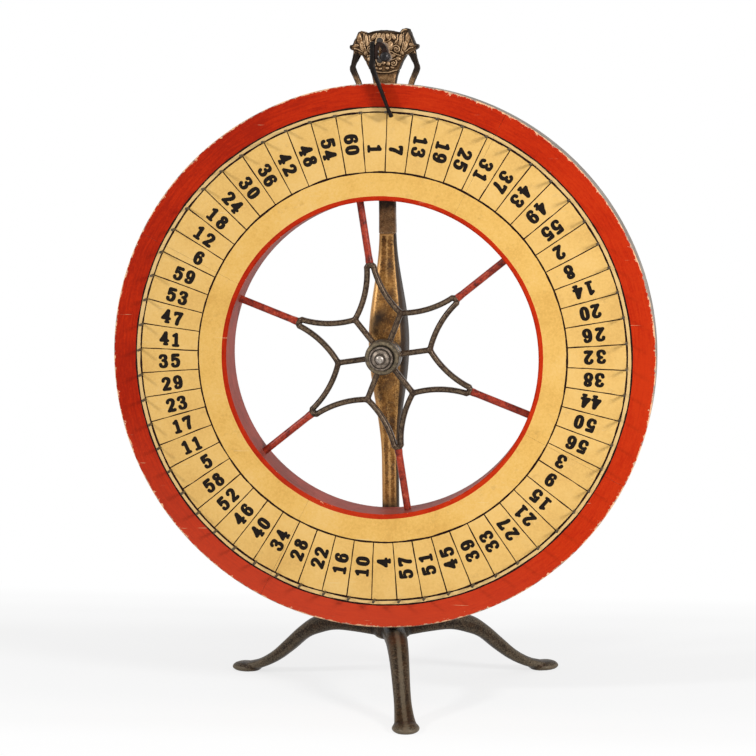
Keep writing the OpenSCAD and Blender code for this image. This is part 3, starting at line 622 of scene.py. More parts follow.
# the CAD nodes that wear each of these
wearers = {
    "hub": ["front_dust_cap", "front_cone", "rear_cone", "rear_locknut", "front_cone_nut"],
    "ring": ["hub_shell", "hub_lock_ring"],
    "axle": ["axle_stud", "front_bearing_balls", "rear_bearing_balls"],
    "nut": ["axle_rear_washer", "axle_rear_nut", "base_washer", "base_nut", "neck_pin", "bracket_screws"],
    "peg": ["peg_pins"], "rivet": ["strap_rivets"], "bolt": ["flapper_pivot_bolt"], "lever": ["flapper_boss"],
}
quarters = (1, 2, 3, 4)

print("materials")
for metal, finish in turned.items():
    dress(turnedSteel("turned_iron_" + metal, finish), *wearers[metal])
dress(rodEnamel(), "spoke_rods")
dress(dialPaint(), *[f"rim_front_{quarter}" for quarter in quarters])
for quarter in quarters:
    dress(backWood(quarter), f"rim_back_{quarter}")

# Strokes of each digit as x, up and half width in mm, on a 10.4 by 15.8 mm body about its middle
strokes = {
    "0": [[(0, 6.5, 1.35), (2.5, 4.6, 1.9), (3.15, 0, 2.05), (2.5, -4.6, 1.9), (0, -6.5, 1.35),
           (-2.5, -4.6, 1.9), (-3.15, 0, 2.05), (-2.5, 4.6, 1.9), (0, 6.5, 1.35)]],
    "1": [[(0.5, 6.0, 1.85), (0.5, -6.2, 1.85)], [(0.3, 6.2, 1.4), (-2.4, 4.5, 1.5)],
          [(-2.75, -6.5, 1.35), (2.75, -6.5, 1.35)]],
    "2": [[(-3.3, 3.7, 1.75), (-2.8, 5.3, 1.55), (-0.2, 6.45, 1.4), (2.6, 5.2, 1.9), (3.1, 2.8, 2.0),
           (1.5, -0.3, 1.9), (-1.5, -3.7, 1.6), (-3.4, -6.0, 1.5)],
          [(-3.6, -6.2, 1.5), (-1.0, -5.9, 1.7), (1.6, -6.2, 1.7), (3.5, -5.9, 1.7)]],
    "3": [[(-3.2, 4.4, 1.75), (-2.4, 6.0, 1.5), (0.2, 6.5, 1.35), (2.6, 5.4, 1.8), (2.9, 3.3, 1.85),
           (1.6, 1.4, 1.5), (-0.6, 0.8, 1.3)],
          [(-0.6, 0.7, 1.3), (2.0, 0.1, 1.6), (3.3, -2.6, 2.0), (2.5, -5.4, 1.8), (0, -6.5, 1.35),
           (-2.6, -5.8, 1.55), (-3.3, -3.9, 1.8)]],
    "4": [[(1.6, 6.0, 1.9), (1.6, -6.0, 1.9)], [(1.0, 6.3, 1.5), (-1.4, 1.6, 1.5), (-4.0, -2.1, 1.4)],
          [(-4.1, -2.6, 1.45), (4.1, -2.6, 1.45)], [(0.2, -6.6, 1.3), (3.3, -6.6, 1.3)]],
    "5": [[(-2.6, 6.1, 1.75), (3.2, 6.2, 1.7)], [(-3.0, 6.0, 1.5), (-3.3, 0.4, 1.4)],
          [(-3.2, 0.9, 1.3), (-0.4, 1.9, 1.45), (2.6, 0.6, 1.9), (3.2, -2.4, 2.0), (2.2, -5.4, 1.8),
           (-0.3, -6.5, 1.4), (-2.8, -5.8, 1.6), (-3.3, -4.2, 1.8)]],
    "6": [[(2.9, 4.6, 1.7), (2.4, 6.0, 1.5), (0.3, 6.5, 1.35), (-2.3, 5.0, 1.8), (-3.2, 1.5, 2.0),
           (-3.2, -2.0, 2.0), (-2.4, -5.0, 1.8), (0, -6.5, 1.35), (2.5, -5.1, 1.85), (3.2, -2.3, 1.95),
           (2.3, 0.3, 1.7), (0.2, 1.3, 1.35), (-1.9, 0.2, 1.4), (-2.8, -1.5, 1.5)]],
    "7": [[(-3.6, 5.9, 1.6), (-1.0, 6.0, 1.85), (1.6, 6.0, 1.8), (3.7, 6.3, 1.5)],
          [(-3.7, 6.0, 1.4), (-3.8, 4.0, 1.2)],
          [(3.5, 5.9, 1.5), (1.7, 2.0, 1.8), (0.2, -2.0, 2.0), (-0.3, -5.8, 2.05)]],
    "8": [[(0, 6.5, 1.4), (2.3, 5.3, 1.75), (2.4, 3.0, 1.75), (0, 1.1, 1.4), (-2.4, 3.0, 1.75),
           (-2.3, 5.3, 1.75), (0, 6.5, 1.4)],
          [(0, 0.7, 1.4), (2.6, -0.8, 1.8), (3.1, -3.6, 2.0), (1.9, -5.9, 1.6), (0, -6.5, 1.4),
           (-1.9, -5.9, 1.6), (-3.1, -3.6, 2.0), (-2.6, -0.8, 1.8), (0, 0.7, 1.4)]],
}
strokes["9"] = [[(-x, -y, w) for x, y, w in line] for line in strokes["6"]]  # the 6 upside down
digits = {"cell": 0.56, "grid": (6.5, 9.0), "steps": 6, "bold": 0.28,
          "face": 26.0, "proud": 0.14, "sunk": 0.02,
          # mean, cosine, sine, double cosine and double sine of each row's radius and step aside
          "outer": (247.2, -1.1, 1.1, 0.6, 0), "inner": (233.6, -0.9, 1.2, 0.6, 0),
          "shift": (0.8, 0.3, -1.95, 0, 0.8),
          "jitter": 0.45, "lean": 1.2, "first": 90.9, "seed": 11}


def toStretch(points, a, b):
    # distance of each point from the stretch between rows a and b, and their further values,
    # blended at its nearest place
    d = b[:2] - a[:2]
    u = np.clip((points - a[:2]) @ d / max(d @ d, 1e-9), 0, 1)[:, None]
    return np.hypot(*(points - a[:2] - u * d).T), *(a[2:] + u * (b[2:] - a[2:])).T


def strokeDistance(points, lines):
    # least of the distance to a stroke's middle line less its half width there, over all strokes
    best = np.full(len(points), 99.0)
    for line in lines:
        path = smoothPath(line, digits["steps"])
        for a, b in zip(path[:-1], path[1:]):
            gap, half = toStretch(points, a, b)
            best = np.minimum(best, gap - half)
    return best - digits["bold"]


def digitPlate(lines):
    # squares whose middle lies in a stroke, with the rim vertices moved onto the stroke's edge
    cell = digits["cell"]
    xs, ups = [np.arange(-half, half, cell) for half in digits["grid"]]
    gridX, gridUp = np.meshgrid(xs, ups, indexing="ij")
    points = np.stack([gridX.ravel(), gridUp.ravel()], -1)
    n, m = gridX.shape
    i, k = np.meshgrid(np.arange(n - 1), np.arange(m - 1), indexing="ij")
    i, k = i.ravel(), k.ravel()
    middle = np.stack([xs[i] + cell / 2, ups[k] + cell / 2], -1)
    inside = strokeDistance(middle, lines) < 0
    i, k = i[inside], k[inside]
    quads = np.stack([i * m + k, (i + 1) * m + k, (i + 1) * m + k + 1, i * m + k + 1], -1)
    used, quads = np.unique(quads, return_inverse=True)
    quads = quads.reshape(-1, 4)
    points = points[used]
    pairs = np.vstack([quads[:, [a, (a + 1) % 4]] for a in range(4)])
    _, first, count = np.unique(np.sort(pairs, 1), axis=0, return_index=True, return_counts=True)
    border = pairs[first[count == 1]]
    rim = np.unique(border)
    tiny = 0.02
    for _ in range(3):
        spot = points[rim]
        here = strokeDistance(spot, lines)
        slope = np.stack([strokeDistance(spot + d, lines) - here
                          for d in (np.array([tiny, 0]), np.array([0, tiny]))], -1) / tiny
        slope /= np.maximum(np.linalg.norm(slope, axis=1), 0.5)[:, None]
        points[rim] = spot - here[:, None] * slope
    count = len(points)
    walls = np.stack([border[:, 1], border[:, 0], border[:, 0] + count, border[:, 1] + count], -1)
    return points, np.vstack([quads, quads[:, ::-1] + count, walls])


def makeDigits():
    # numbers step by six from cell to cell, and stand with their tops to the next cell
    s = digits
    plates = {d: digitPlate(lines) for d, lines in strokes.items()}
    rng = np.random.default_rng(s["seed"])
    verts, faces, base = [], [], 0
    for k in range(dial["cells"]):
        number = str(1 + 6 * (k % 10) + k // 10)
        turn = math.radians(s["first"] - 360 / dial["cells"] * k)
        right, high = math.cos(turn), math.sin(turn)
        wave = np.array([1, right, high, math.cos(2 * turn), math.sin(2 * turn)])
        outward, across = np.array([right, 0, high]), np.array([high, 0, -right])
        for row, digit in zip(("inner",) if len(number) == 1 else ("outer", "inner"), number):
            plate, plateFaces = plates[digit]
            lean = math.radians(rng.normal(0, s["lean"]))
            x = plate[:, 0] * math.cos(lean) - plate[:, 1] * math.sin(lean)
            y = plate[:, 0] * math.sin(lean) + plate[:, 1] * math.cos(lean)
            r = wave @ s[row] + rng.normal(0, s["jitter"]) - x
            aside = wave @ s["shift"] + rng.normal(0, s["jitter"]) + y
            flat = r[:, None] * outward + aside[:, None] * across + toAxle
            verts += [flat - np.array([0, s["face"] + s["proud"], 0]),
                      flat - np.array([0, s["face"] - s["sunk"], 0])]
            faces.append(plateFaces + base)
            base += 2 * len(plate)
    return makeObject("dial_digits", np.vstack(verts), np.vstack(faces).tolist(), smooth=False)


print("digits")
settle(makeDigits(), "wheel", "rim_paint", stencilPaint())

legs = {
    # where the legs point, in degrees from the right, anticlockwise from above
    "turns": (281.7, 34.1, 158.2), "sides": 28, "steps": 5, "power": 0.7, "voxel": 1.3, "passes": 3,
    # distance from the post, height of the middle, half width, half height
    "stations": [(8, 70, 13, 9.6), (45, 71, 13, 8.6), (75, 71, 12.4, 9.2), (100, 65, 11.6, 10.0),
                 (120, 54, 10.8, 8.2), (140, 37, 10, 7.6), (160, 21.2, 9.8, 6.4), (180, 10.4, 11.0, 5.4),
                 (198, 5.7, 12.4, 4.5)],
    "footR": 202.0, "footLong": 1.23, "recess": 14.2, "recessTop": 70, "ridge": 0.9, "ridgeW": 3.2,
    "pad": [(0.01, 0), (12.6, 0), (15.2, 2.2), (15.2, 4.6), (12.6, 7.6), (8.6, 9.3), (0.01, 10.0)],
    "hub": [(0.01, 60), (17, 60), (21, 63), (22, 70), (21, 77), (18, 80), (0.01, 80)],
    # distances from the post where the hub's fillets end and the foot's begin, and the recess's wall
    "hubFillet": (45, 70), "footFillet": (165, 180), "wall": 16, "fillPasses": 110,
    "rubHalf": (1.6, 3.6), "rubFrom": 40, "rubLift": 0.2,  # the strip rubbed along each leg's top
    "wearAndHighlight": (4, 4),  # how far the wear spreads from a corner, and how fast it grows with the bend
    "finish": {"deep": "#150E09", "body": "#261B12", "high": "#402C1A", "worn": "#7A6E5C",
               "hollow": "#150E09", "grey": "#463E33", "greyed": 0.35, "sootAndShade": "#1A1410",
               "metallic": 0.15, "rough": 0.42,
               "blotch": 0.1, "grit": 0.7, "rub": 0.6, "bump": 0.4, "gloss": 0.12},
}


def headings(rows):
    # the direction of the path at each row
    step = np.gradient(rows[:, :2], axis=0)
    return step / np.linalg.norm(step, axis=1)[:, None]


def barRings(stations, steps, sides, power, ridge=0.0, ridgeW=1.0):
    # bar along [along, up, half width, half height] with a rounded-square section and a low
    # ridge along its top
    rows = smoothPath(stations, steps)
    step = headings(rows)
    a = circle(sides)
    across = fat(np.cos(a), power)[None, :] * rows[:, 2:3]
    tall = fat(np.sin(a), power)[None, :] * rows[:, 3:4]
    tall = tall + ridge * np.exp(-(across / ridgeW) ** 2) * (np.sin(a) > 0.3)
    x = rows[:, 0:1] - step[:, 1:2] * tall
    z = rows[:, 1:2] + step[:, 0:1] * tall
    return np.stack([x, across, z], -1)[:, ::-1]


def lathe(profile, sides=64):
    # profile of radius and height, turned about the upright axis
    rows = np.asarray(profile, float)
    a = circle(sides)
    return np.stack([rows[:, 0:1] * np.cos(a), rows[:, 0:1] * np.sin(a),
                     np.repeat(rows[:, 1:2], sides, 1)], -1)


def plug(radius, low, high, sides):
    # closed cylinder about the upright axis
    return lathe([(0.01, low), (radius, low), (radius, high), (0.01, high)], sides)


def spin(points, degrees):
    # points turned about the upright axis, anticlockwise from above
    c, s = math.cos(math.radians(degrees)), math.sin(math.radians(degrees))
    return points @ np.array([[c, s, 0], [-s, c, 0], [0, 0, 1]])


def makeBase():
    # three bars for legs, each with a turned foot, and a turned hub, melted into one casting
    s = legs
    parts = []
    for turn in s["turns"]:
        leg = barRings(s["stations"], s["steps"], s["sides"], s["power"], s["ridge"], s["ridgeW"])
        parts.append(shell(spin(leg, turn)))
        foot = lathe(s["pad"]) * np.array([s["footLong"], 1, 1])
        parts.append(shell(spin(foot + np.array([s["footR"], 0, 0]), turn)))
    parts.append(shell(lathe(s["hub"])))
    verts, faces = joinShells(parts)
    obj = makeObject("tripod_base_cast", verts + toPost, faces)
    castBlend(obj, s["voxel"], s["passes"])

    def nearJoint(co):
        # the fillets grow round the hub and round each foot, and not into the nut's recess
        far = np.hypot(co[:, 0], co[:, 1] - postBack)
        full, gone = s["hubFillet"]
        joints = np.maximum(smoothStep(-far, -gone, -full), smoothStep(far, *s["footFillet"]))
        return joints * (far > s["wall"])

    fillCreases(obj, s["fillPasses"], nearJoint)
    co, _, _ = readMesh(obj)
    # the recess under the hub for the washer and the nut
    far = np.hypot(co[:, 0], co[:, 1] - postBack)
    under = (far < s["recess"]) & (co[:, 2] < s["recessTop"])
    co[under, 2] = s["recessTop"] + 0.4
    co[:, 2] = np.maximum(co[:, 2], 0)
    writeMesh(obj, co)
    # the top of each leg is rubbed along its middle
    rubbed = np.zeros(len(co))
    full, gone = s["rubHalf"]
    for turn in s["turns"]:
        local = spin(co - toPost, -turn)
        strip = smoothStep(-np.abs(local[:, 1]), -gone, -full) * (local[:, 0] > s["rubFrom"])
        rubbed = np.maximum(rubbed, strip)
    markWear(obj, *s["wearAndHighlight"], s["rubLift"] * rubbed)
    return obj


print("base")
settle(makeBase(), "stand", "foot_iron", castMetal("cast_iron_foot_brown", legs["finish"]), "tripod_base")

# half sizes are those of the plain length, and what the swell round the axle adds to them
post = {"low": 80.0, "high": 530.0, "halfW": 9.5, "halfT": 8.0, "swellW": 12.5, "swellT": 17.0,
        "mid": 405.0, "upReach": 128.0, "downReach": 136.0, "sides": 56, "rows": 200,
        "seatR": 11.5, "seatHalf": 25, "tenonR": 7, "tenon": (60, 90),
        "power": 0.42, "ridge": 0.8, "ridgeW": 3.0, "voxel": 1.0, "passes": 2,
        # dark smudges, partly mottled paint and partly painted light: the one right of the hub is the hub's
        # painted shadow and those close left of it are painted dark reflections; x, up from the axle, half
        # sizes, lean in degrees, strength
        "mottleAndShade": [(-9.5, 40, 7, 20, 31, 0.72), (-14, 30, 8, 10, 0, 0.55), (19, 0.3, 6.5, 20, -3, 1),
                    (-1.5, -37, 7, 17, 47, 0.45), (7.1, 66, 5, 14, -18, 0.5), (3, 100, 5, 16, 0, 0.5),
                    (4, -86, 6, 22, -6, 0.45)],
        # painted shadow behind the rim, and a painted dark reflection round a spot by the hub: its strength
        # and where it fades
        "rimShadow": 0.8, "rimShadowFade": (158, 182), "hubReflection": 0.5, "hubSpot": (-14, -2), "hubFade": (6, 22),
        "litLift": 0.28, "wearAndHighlight": (3, 12),
        "finish": {"deep": "#3C2612", "body": "#70491F", "high": "#9C6E36", "worn": "#CC9C5E",
                   "hollow": "#2E1F12", "grey": "#5E4E3C", "greyed": 0.5, "sootAndShade": "#24180F",
                   "metallic": 0.45, "rough": 0.34,
                   "blotch": 0.06, "grit": 0.5, "rub": 0.8, "bump": 0.3, "gloss": 0.25}}


def makePost():
    # half sizes grow by 0.5 + 0.5 cos(pi * distance from the swell's middle / reach), section
    # x = w cos^p, y = t sin^p with p below 1, and a low ridge down the front of the plain lengths
    s = post
    z = np.linspace(s["low"], s["high"], s["rows"])[:, None]
    d = z - s["mid"]
    d = np.where(d > 0, d / s["upReach"], d / s["downReach"])
    swell = 0.5 + 0.5 * np.cos(np.pi * np.minimum(1, np.abs(d)))
    a = circle(s["sides"])[None, :]
    x = (s["halfW"] + s["swellW"] * swell) * fat(np.cos(a), s["power"])
    y = (s["halfT"] + s["swellT"] * swell) * fat(np.sin(a), s["power"])
    y = y - s["ridge"] * (1 - swell) * np.exp(-(x / s["ridgeW"]) ** 2) * (np.sin(a) < 0)
    parts = [shell(np.stack([x, y, z + 0 * x], -1))]
    seat = plug(s["seatR"], -s["seatHalf"], s["seatHalf"], 48)
    seat = seat[..., [0, 2, 1]] * np.array([1, -1, 1]) + toAxle
    parts.append(shell(seat[:, ::-1]))
    parts.append(shell(plug(s["tenonR"], *s["tenon"], 40)))
    verts, faces = joinShells(parts)
    obj = makeObject("post_cast", verts + toPost, faces)
    castBlend(obj, s["voxel"], s["passes"])
    co, normal, _ = readMesh(obj)
    up = co[:, 2] - axleUp
    # painted highlight: the left cheek of the swell, which faces the light, is made brighter through the
    # attribute wearAndHighlight
    lit = smoothStep(-normal[:, 0], 0.12, 0.5) * smoothStep(normal[:, 0], -1, -0.85)
    markWear(obj, *s["wearAndHighlight"], s["litLift"] * lit)
    # painted shade and shadow: black behind the rim as the rim's painted shadow, on the right side as painted
    # shade, round a spot by the hub as a painted dark reflection, and in the smudges
    side = smoothStep(normal[:, 0], 0.25, 0.6)
    rim = smoothStep(np.abs(up), *s["rimShadowFade"]) * s["rimShadow"]
    toHub = np.hypot(co[:, 0] - s["hubSpot"][0], up - s["hubSpot"][1])
    full, gone = s["hubFade"]
    hubReflectionMask = s["hubReflection"] * smoothStep(-toHub, -gone, -full)
    flat = np.stack([co[:, 0], up], -1)
    mottleAndShade = [strength * smoothStep(-np.sqrt(ovalDistance(flat, *oval)), -1.7, -0.1)
               for *oval, strength in s["mottleAndShade"]]
    setAttribute(obj, "sootAndShade", np.maximum.reduce([side, rim, hubReflectionMask, *mottleAndShade]))
    return obj


print("post")
settle(makePost(), "stand", "bronzed_iron", castMetal("cast_iron_post_bronze", post["finish"]), "post")

head = {
    "voxel": 0.6, "passes": 3, "steps": 6, "sides": 48, "power": 0.42,
    "half": 9.0, "chamfer": 0.6, "core": 4, "earDrop": 2.6, "armSides": 20, "armPower": 0.8,
    "stem": [(137, 9.8, 8.5), (170, 9.5, 8), (225, 9.7, 8), (270, 10.5, 8), (306, 12.9, 8.4),
             (322, 16.8, 8.85), (338, 24, 8.3)],
    "crown": [(17, 323), (21, 332), (24.7, 338.4), (30, 341.4), (34.8, 344), (36.6, 345), (38.6, 346.4),
              (39.2, 348.4), (38.6, 350.6), (35.4, 351), (33.6, 355.4), (31.6, 361), (28.8, 367.8),
              (25, 368.8), (21, 367.6), (19, 363.8), (10, 366.1), (0, 367)],
    # distance out, height, half depth, half width
    "arm": [(30, 345, 4.6, 5.6), (33.8, 334.5, 4.6, 3.8), (35.9, 328.4, 4.6, 3), (36.7, 323.4, 4.6, 3.7),
            (32.8, 314, 4.4, 3.5), (29.1, 303.5, 4.4, 3.4), (22.5, 275, 4.4, 3.5), (14.5, 246, 4.4, 3.6),
            (6.5, 224, 4.4, 3.6)],
    # leaves and bosses of the ornament: x, up, half sizes, lean in degrees, height
    "lumps": [(28.2, 358.5, 3.4, 8.0, 14, 1.9), (32.6, 349.6, 4.4, 2.4, 8, 1.5),
              (24.6, 349, 2.9, 7.2, 12, 2.3), (19.2, 355.5, 2.6, 7.4, 8, 2.5),
              (0, 358.4, 3.0, 5.4, 0, 2.2), (5.6, 359.4, 2.9, 4.8, -22, 2.4),
              (11.4, 359.2, 2.8, 4.4, -40, 2.2), (14.8, 353.4, 2.4, 3.2, -20, 1.7),
              (6.6, 348.4, 4.9, 6.8, 16, 3.2), (0, 346.5, 2.4, 5.4, 0, 2.0),
              (14.6, 345.6, 4.4, 4.0, 0, 2.5), (20.6, 341.6, 3.2, 3.0, 20, 1.8),
              (10.6, 338.2, 4.2, 2.3, -24, 2.3), (3.6, 336.6, 3.6, 2.9, 0, 2.5),
              (16.4, 334.4, 2.8, 3.0, 10, 1.9), (0, 330.0, 2.2, 2.2, 0, 2.3),
              (5.2, 328.6, 3.0, 2.4, 12, 2.2), (11.4, 329.6, 3.4, 2.8, 24, 2.1),
              (4.2, 323.6, 2.2, 1.5, 0, 1.2), (9.8, 324.6, 2.2, 1.5, 10, 1.2)],
    # scrolls: x, up, first and last radius, start and sweep in degrees, half width, height
    "scrolls": [(14.6, 345.4, 4.9, 1.2, 150, -480, 1.3, 3.4), (11.4, 329.4, 3.9, 1.0, 60, -440, 1.1, 3.0),
                (5.0, 336.2, 3.4, 1.2, 100, 330, 1.0, 3.0)],
    # borders between the leaves: rows of x, up, half width, height
    "borders": [
        [(19.6, 364, 1.2, 1.6), (23, 366.8, 1.3, 2.0), (27.4, 366.4, 1.3, 2.0), (30.2, 361, 1.2, 1.8),
         (32.4, 354.6, 1.2, 1.8), (34.6, 350.4, 1.2, 1.6), (37.4, 349.2, 1.6, 1.8)],
        [(22.4, 363, 1.0, 2.0), (22.2, 355, 1.1, 2.6), (21.4, 347, 1.0, 2.2), (18.6, 339.4, 0.9, 1.4)],
        [(16.4, 361, 1.1, 2.2), (15.6, 356, 1.2, 2.6), (12.4, 351.6, 1.0, 2.2)],
        [(8.6, 363, 1.0, 2.0), (8.4, 358, 1.1, 2.8), (5.4, 354.4, 1.0, 2.6), (1.4, 353, 0.9, 2.0)],
        [(2.6, 340.6, 1.1, 2.4), (8.6, 342.4, 1.2, 3.0), (13.6, 339.6, 1.1, 2.6), (18.6, 338, 1.0, 1.8)],
        [(1.8, 333.2, 1.0, 2.4), (7.4, 333.4, 1.1, 2.8), (13.4, 334.6, 1.0, 2.0)],
        [(24, 342.4, 1.1, 1.6), (29, 345.2, 1.2, 1.8), (33.6, 346.6, 1.2, 1.6)]],
    # bars across the whole front: half length, up, bend, half width, height
    "crest": (19, 365.4, -240, 1.6, 2.0), "collar": (14.4, 319.2, 75, 1.4, 1.5),
    # how far the ornament's floor is sunk in front and behind, and the height of the relief behind
    "sunk": 1.1, "sunkBehind": 0.8, "behind": 0.6,
    # the casting's rough skin: size of the bumps in mm, share and seed, and their greatest height
    "skin": [(3.4, 0.5, 3), (1.7, 0.3, 4)], "skinHigh": 0.55, "wobble": 0.7, "wobbleSize": 5.0,
    "top": 368.9, "wearAndHighlight": (1, 4), "rubAbove": 1.6, "rubLift": 0.09,
    "lean": -1.2,  # the crown and its arms stand a little to the left of the neck
    "finish": {"deep": "#36251A", "body": "#6E4E2E", "high": "#94704A", "worn": "#C8A882",
               "hollow": "#2A1D12", "grey": "#74624C", "greyed": 0.6, "sootAndShade": "#221A14",
               "metallic": 0.4, "rough": 0.38,
               "blotch": 0.18, "grit": 0.9, "rub": 0.85, "bump": 0.5, "gloss": 0.18},
}


def spiral(x, up, r0, r1, turn, sweep, width, height, side):
    # a scroll of radius r0 to r1, and its ridge's half width and height
    u = np.linspace(0, 1, 22)
    a = np.radians(turn + sweep * u)
    r = r0 + (r1 - r0) * u
    return np.stack([side * (x + r * np.cos(a)), up + r * np.sin(a),
                     0 * u + width, 0 * u + height], -1)


def headRidges():
    # scrolls and borders of a plain foliate ornament, the same on both sides
    s = head
    lines = []
    for side in (1, -1):
        lines += [spiral(*scroll, side) for scroll in s["scrolls"]]
        for border in s["borders"]:
            line = smoothPath(border, 5)
            line[:, 0] *= side
            lines.append(line)
    for half, up, bend, width, height in (s["crest"], s["collar"]):
        x = np.linspace(-half, half, 24)
        lines.append(np.stack([x, up + x ** 2 / bend, 0 * x + width, 0 * x + height], -1))
    return lines


def reliefHeight(points, lumps, lines):
    # highest of a dome h * sqrt(1 - d^2) over each lump and of a ridge
    # h * (0.5 + 0.5 cos(pi * distance / half width)) along each line
    tall = np.zeros(len(points))
    for *oval, h in lumps:
        for side in (1, -1):
            d = ovalDistance(points * np.array([side, 1]), *oval)
            tall = np.maximum(tall, h * np.sqrt(np.maximum(1 - d, 0)))
    for line in lines:
        for a, b in zip(line[:-1], line[1:]):
            gap, half, h = toStretch(points, a, b)
            tall = np.maximum(tall, h * (0.5 + 0.5 * np.cos(np.pi * np.minimum(gap / half, 1))))
    return tall


def makeHead():
    # the stem is a stack of fattened ellipses, the crown is its outline at four depths, and the
    # arms are bars; once they are melted together, the front and the back of the crown move in
    # and out by the height of the ornament
    s = head
    rows = smoothPath(s["stem"], s["steps"])
    a = circle(s["sides"])[None, :]
    x = rows[:, 1:2] * fat(np.cos(a), s["power"])
    y = rows[:, 2:3] * fat(np.sin(a), s["power"])
    parts = [shell(np.stack([x, y, axleUp + rows[:, 0:1] + 0 * x], -1))]
    right = np.array(s["crown"], float)
    left = (right[:-1] * np.array([-1, 1]))[::-1]
    left[:, 1] -= s["earDrop"] * ((left[:, 0] < -20) & (left[:, 1] > 360))
    outline = np.vstack([right, left])
    half, inner = s["half"], s["half"] - s["chamfer"]
    depth = np.array([-half, -inner, inner, half])[:, None]
    rings = np.stack([outline[None, :, 0] + 0 * depth, depth + 0 * outline[None, :, 0],
                      axleUp + outline[None, :, 1] + 0 * depth], -1)
    parts.append(shell(rings[:, ::-1]))
    for side in (1, -1):
        arm = barRings(s["arm"], s["steps"], s["armSides"], s["armPower"])
        arm = arm * np.array([side, 1, 1]) + toAxle
        parts.append(shell(arm if side == 1 else arm[:, ::-1]))
    verts, faces = joinShells(parts)
    obj = makeObject("head_cast", verts + toPost, faces)
    castBlend(obj, s["voxel"], s["passes"])

    co, normal, _ = readMesh(obj)
    local = co - toPost - toAxle
    up, out = local[:, 2], np.abs(local[:, 0])
    ornament = smoothStep(up, 312, 318) * (np.abs(local[:, 1]) > s["core"])
    wobble = np.stack([latticeNoise(local, s["wobbleSize"], seed) for seed in (8, 9)], -1)
    tall = reliefHeight(local[:, [0, 2]] + wobble * s["wobble"], s["lumps"], headRidges())
    front = smoothStep(-normal[:, 1], 0.3, 0.8) * ornament
    behind = smoothStep(normal[:, 1], 0.3, 0.8) * ornament
    co[:, 1] -= front * (tall - s["sunk"])
    co[:, 1] += behind * (s["behind"] * tall - s["sunkBehind"])
    rough = sum(share * latticeNoise(local, size, seed) for size, share, seed in s["skin"])
    co += normal * (rough * (0.2 + 0.8 * smoothStep(up, 300, 325)))[:, None] * s["skinHigh"]
    co[:, 0] += s["lean"] * smoothStep(up, 200, 320)
    co[:, 2] = np.minimum(co[:, 2], axleUp + s["top"])
    writeMesh(obj, co)

    # the top of the relief is rubbed bright, its floor is dark, and the rim, the knobs and the
    # upper arms have lost their bronze; the neck behind the wheel's rim is darkened, painted shadow
    cover = np.maximum(front, behind)
    markWear(obj, *s["wearAndHighlight"], cover * (tall - s["rubAbove"]) * s["rubLift"])
    crest = smoothStep(up + out ** 2 / 240, 363.8, 365) * (out < 20)
    ears = smoothStep(out + 0.45 * (up - 345), 35.6, 37.4) * (up > 349)
    knobs = smoothStep(out, 35.6, 37.2) * (up > 343)
    arms = smoothStep(out, 26, 30) * smoothStep(-up, -343, -338) * smoothStep(up, 300, 330)
    sides = smoothStep(np.abs(normal[:, 0]), 0.55, 0.9) * smoothStep(up, 296, 306) * 0.8
    # painted shadow: the neck where it stands behind the wheel's rim
    neckShadow = smoothStep(-up, -312, -296) * smoothStep(up, 150, 178) * (out < 20) * 0.8
    setAttribute(obj, "sootAndShade", np.maximum.reduce([crest, ears, knobs, arms, sides, neckShadow]))
    return obj


print("head")
headBronze = castMetal("cast_iron_head_bronze", head["finish"])
settle(makeHead(), "stand", "bronzed_iron", headBronze, "head_casting")

# The star and the bracket keep their CAD shapes, melted at the joints as in a sand casting.
star = {"voxel": 0.76, "passes": 5, "wearAndHighlight": (3, 3.5),
        "finish": {"deep": "#241911", "body": "#37281D", "high": "#4A3828", "worn": "#9A8468",
                   "hollow": "#20160F", "grey": "#544A3C", "greyed": 0.2, "sootAndShade": "#2E2419",
                   "metallic": 0.4, "rough": 0.32,
                   "blotch": 0.06, "grit": 0.4, "rub": 0.35, "bump": 0.12, "gloss": 0.25}}
print("star")
starCast = copyNode("spider", "star_cast")
castBlend(starCast, star["voxel"], star["passes"])
markWear(starCast, *star["wearAndHighlight"])
settle(starCast, "wheel", "spider_iron", castMetal("cast_iron_star_brown", star["finish"]), "spider")

bracket = {"voxel": 0.5, "passes": 3, "wearAndHighlight": (3, 9)}
print("bracket")
bracketCast = copyNode("pointer_bracket", "bracket_cast")
castBlend(bracketCast, bracket["voxel"], bracket["passes"])
markWear(bracketCast, *bracket["wearAndHighlight"])
settle(bracketCast, "stand", "bronzed_iron", headBronze, "pointer_bracket")

strap = {"middle": -33.6, "wide": 9.8, "steps": 8, "sides": 40, "round": 0.5, "square": 0.35,
         "endRound": 1.6, "endShare": 0.25,  # reach of the rounding at an end, and what is left there
         # x, up and half thickness down the strap
         "stations": [(-4.2, 353.0, 2.3), (-4.2, 343, 2.8), (-4.2, 333.5, 2.8), (-4.9, 326, 3.0),
                      (-1.6, 315.5, 2.4), (2.3, 305.5, 2.05), (7.2, 292.4, 1.85), (12.0, 279.6, 1.65),
                      (15.4, 271.4, 2.2), (16.3, 269.2, 1.7)]}


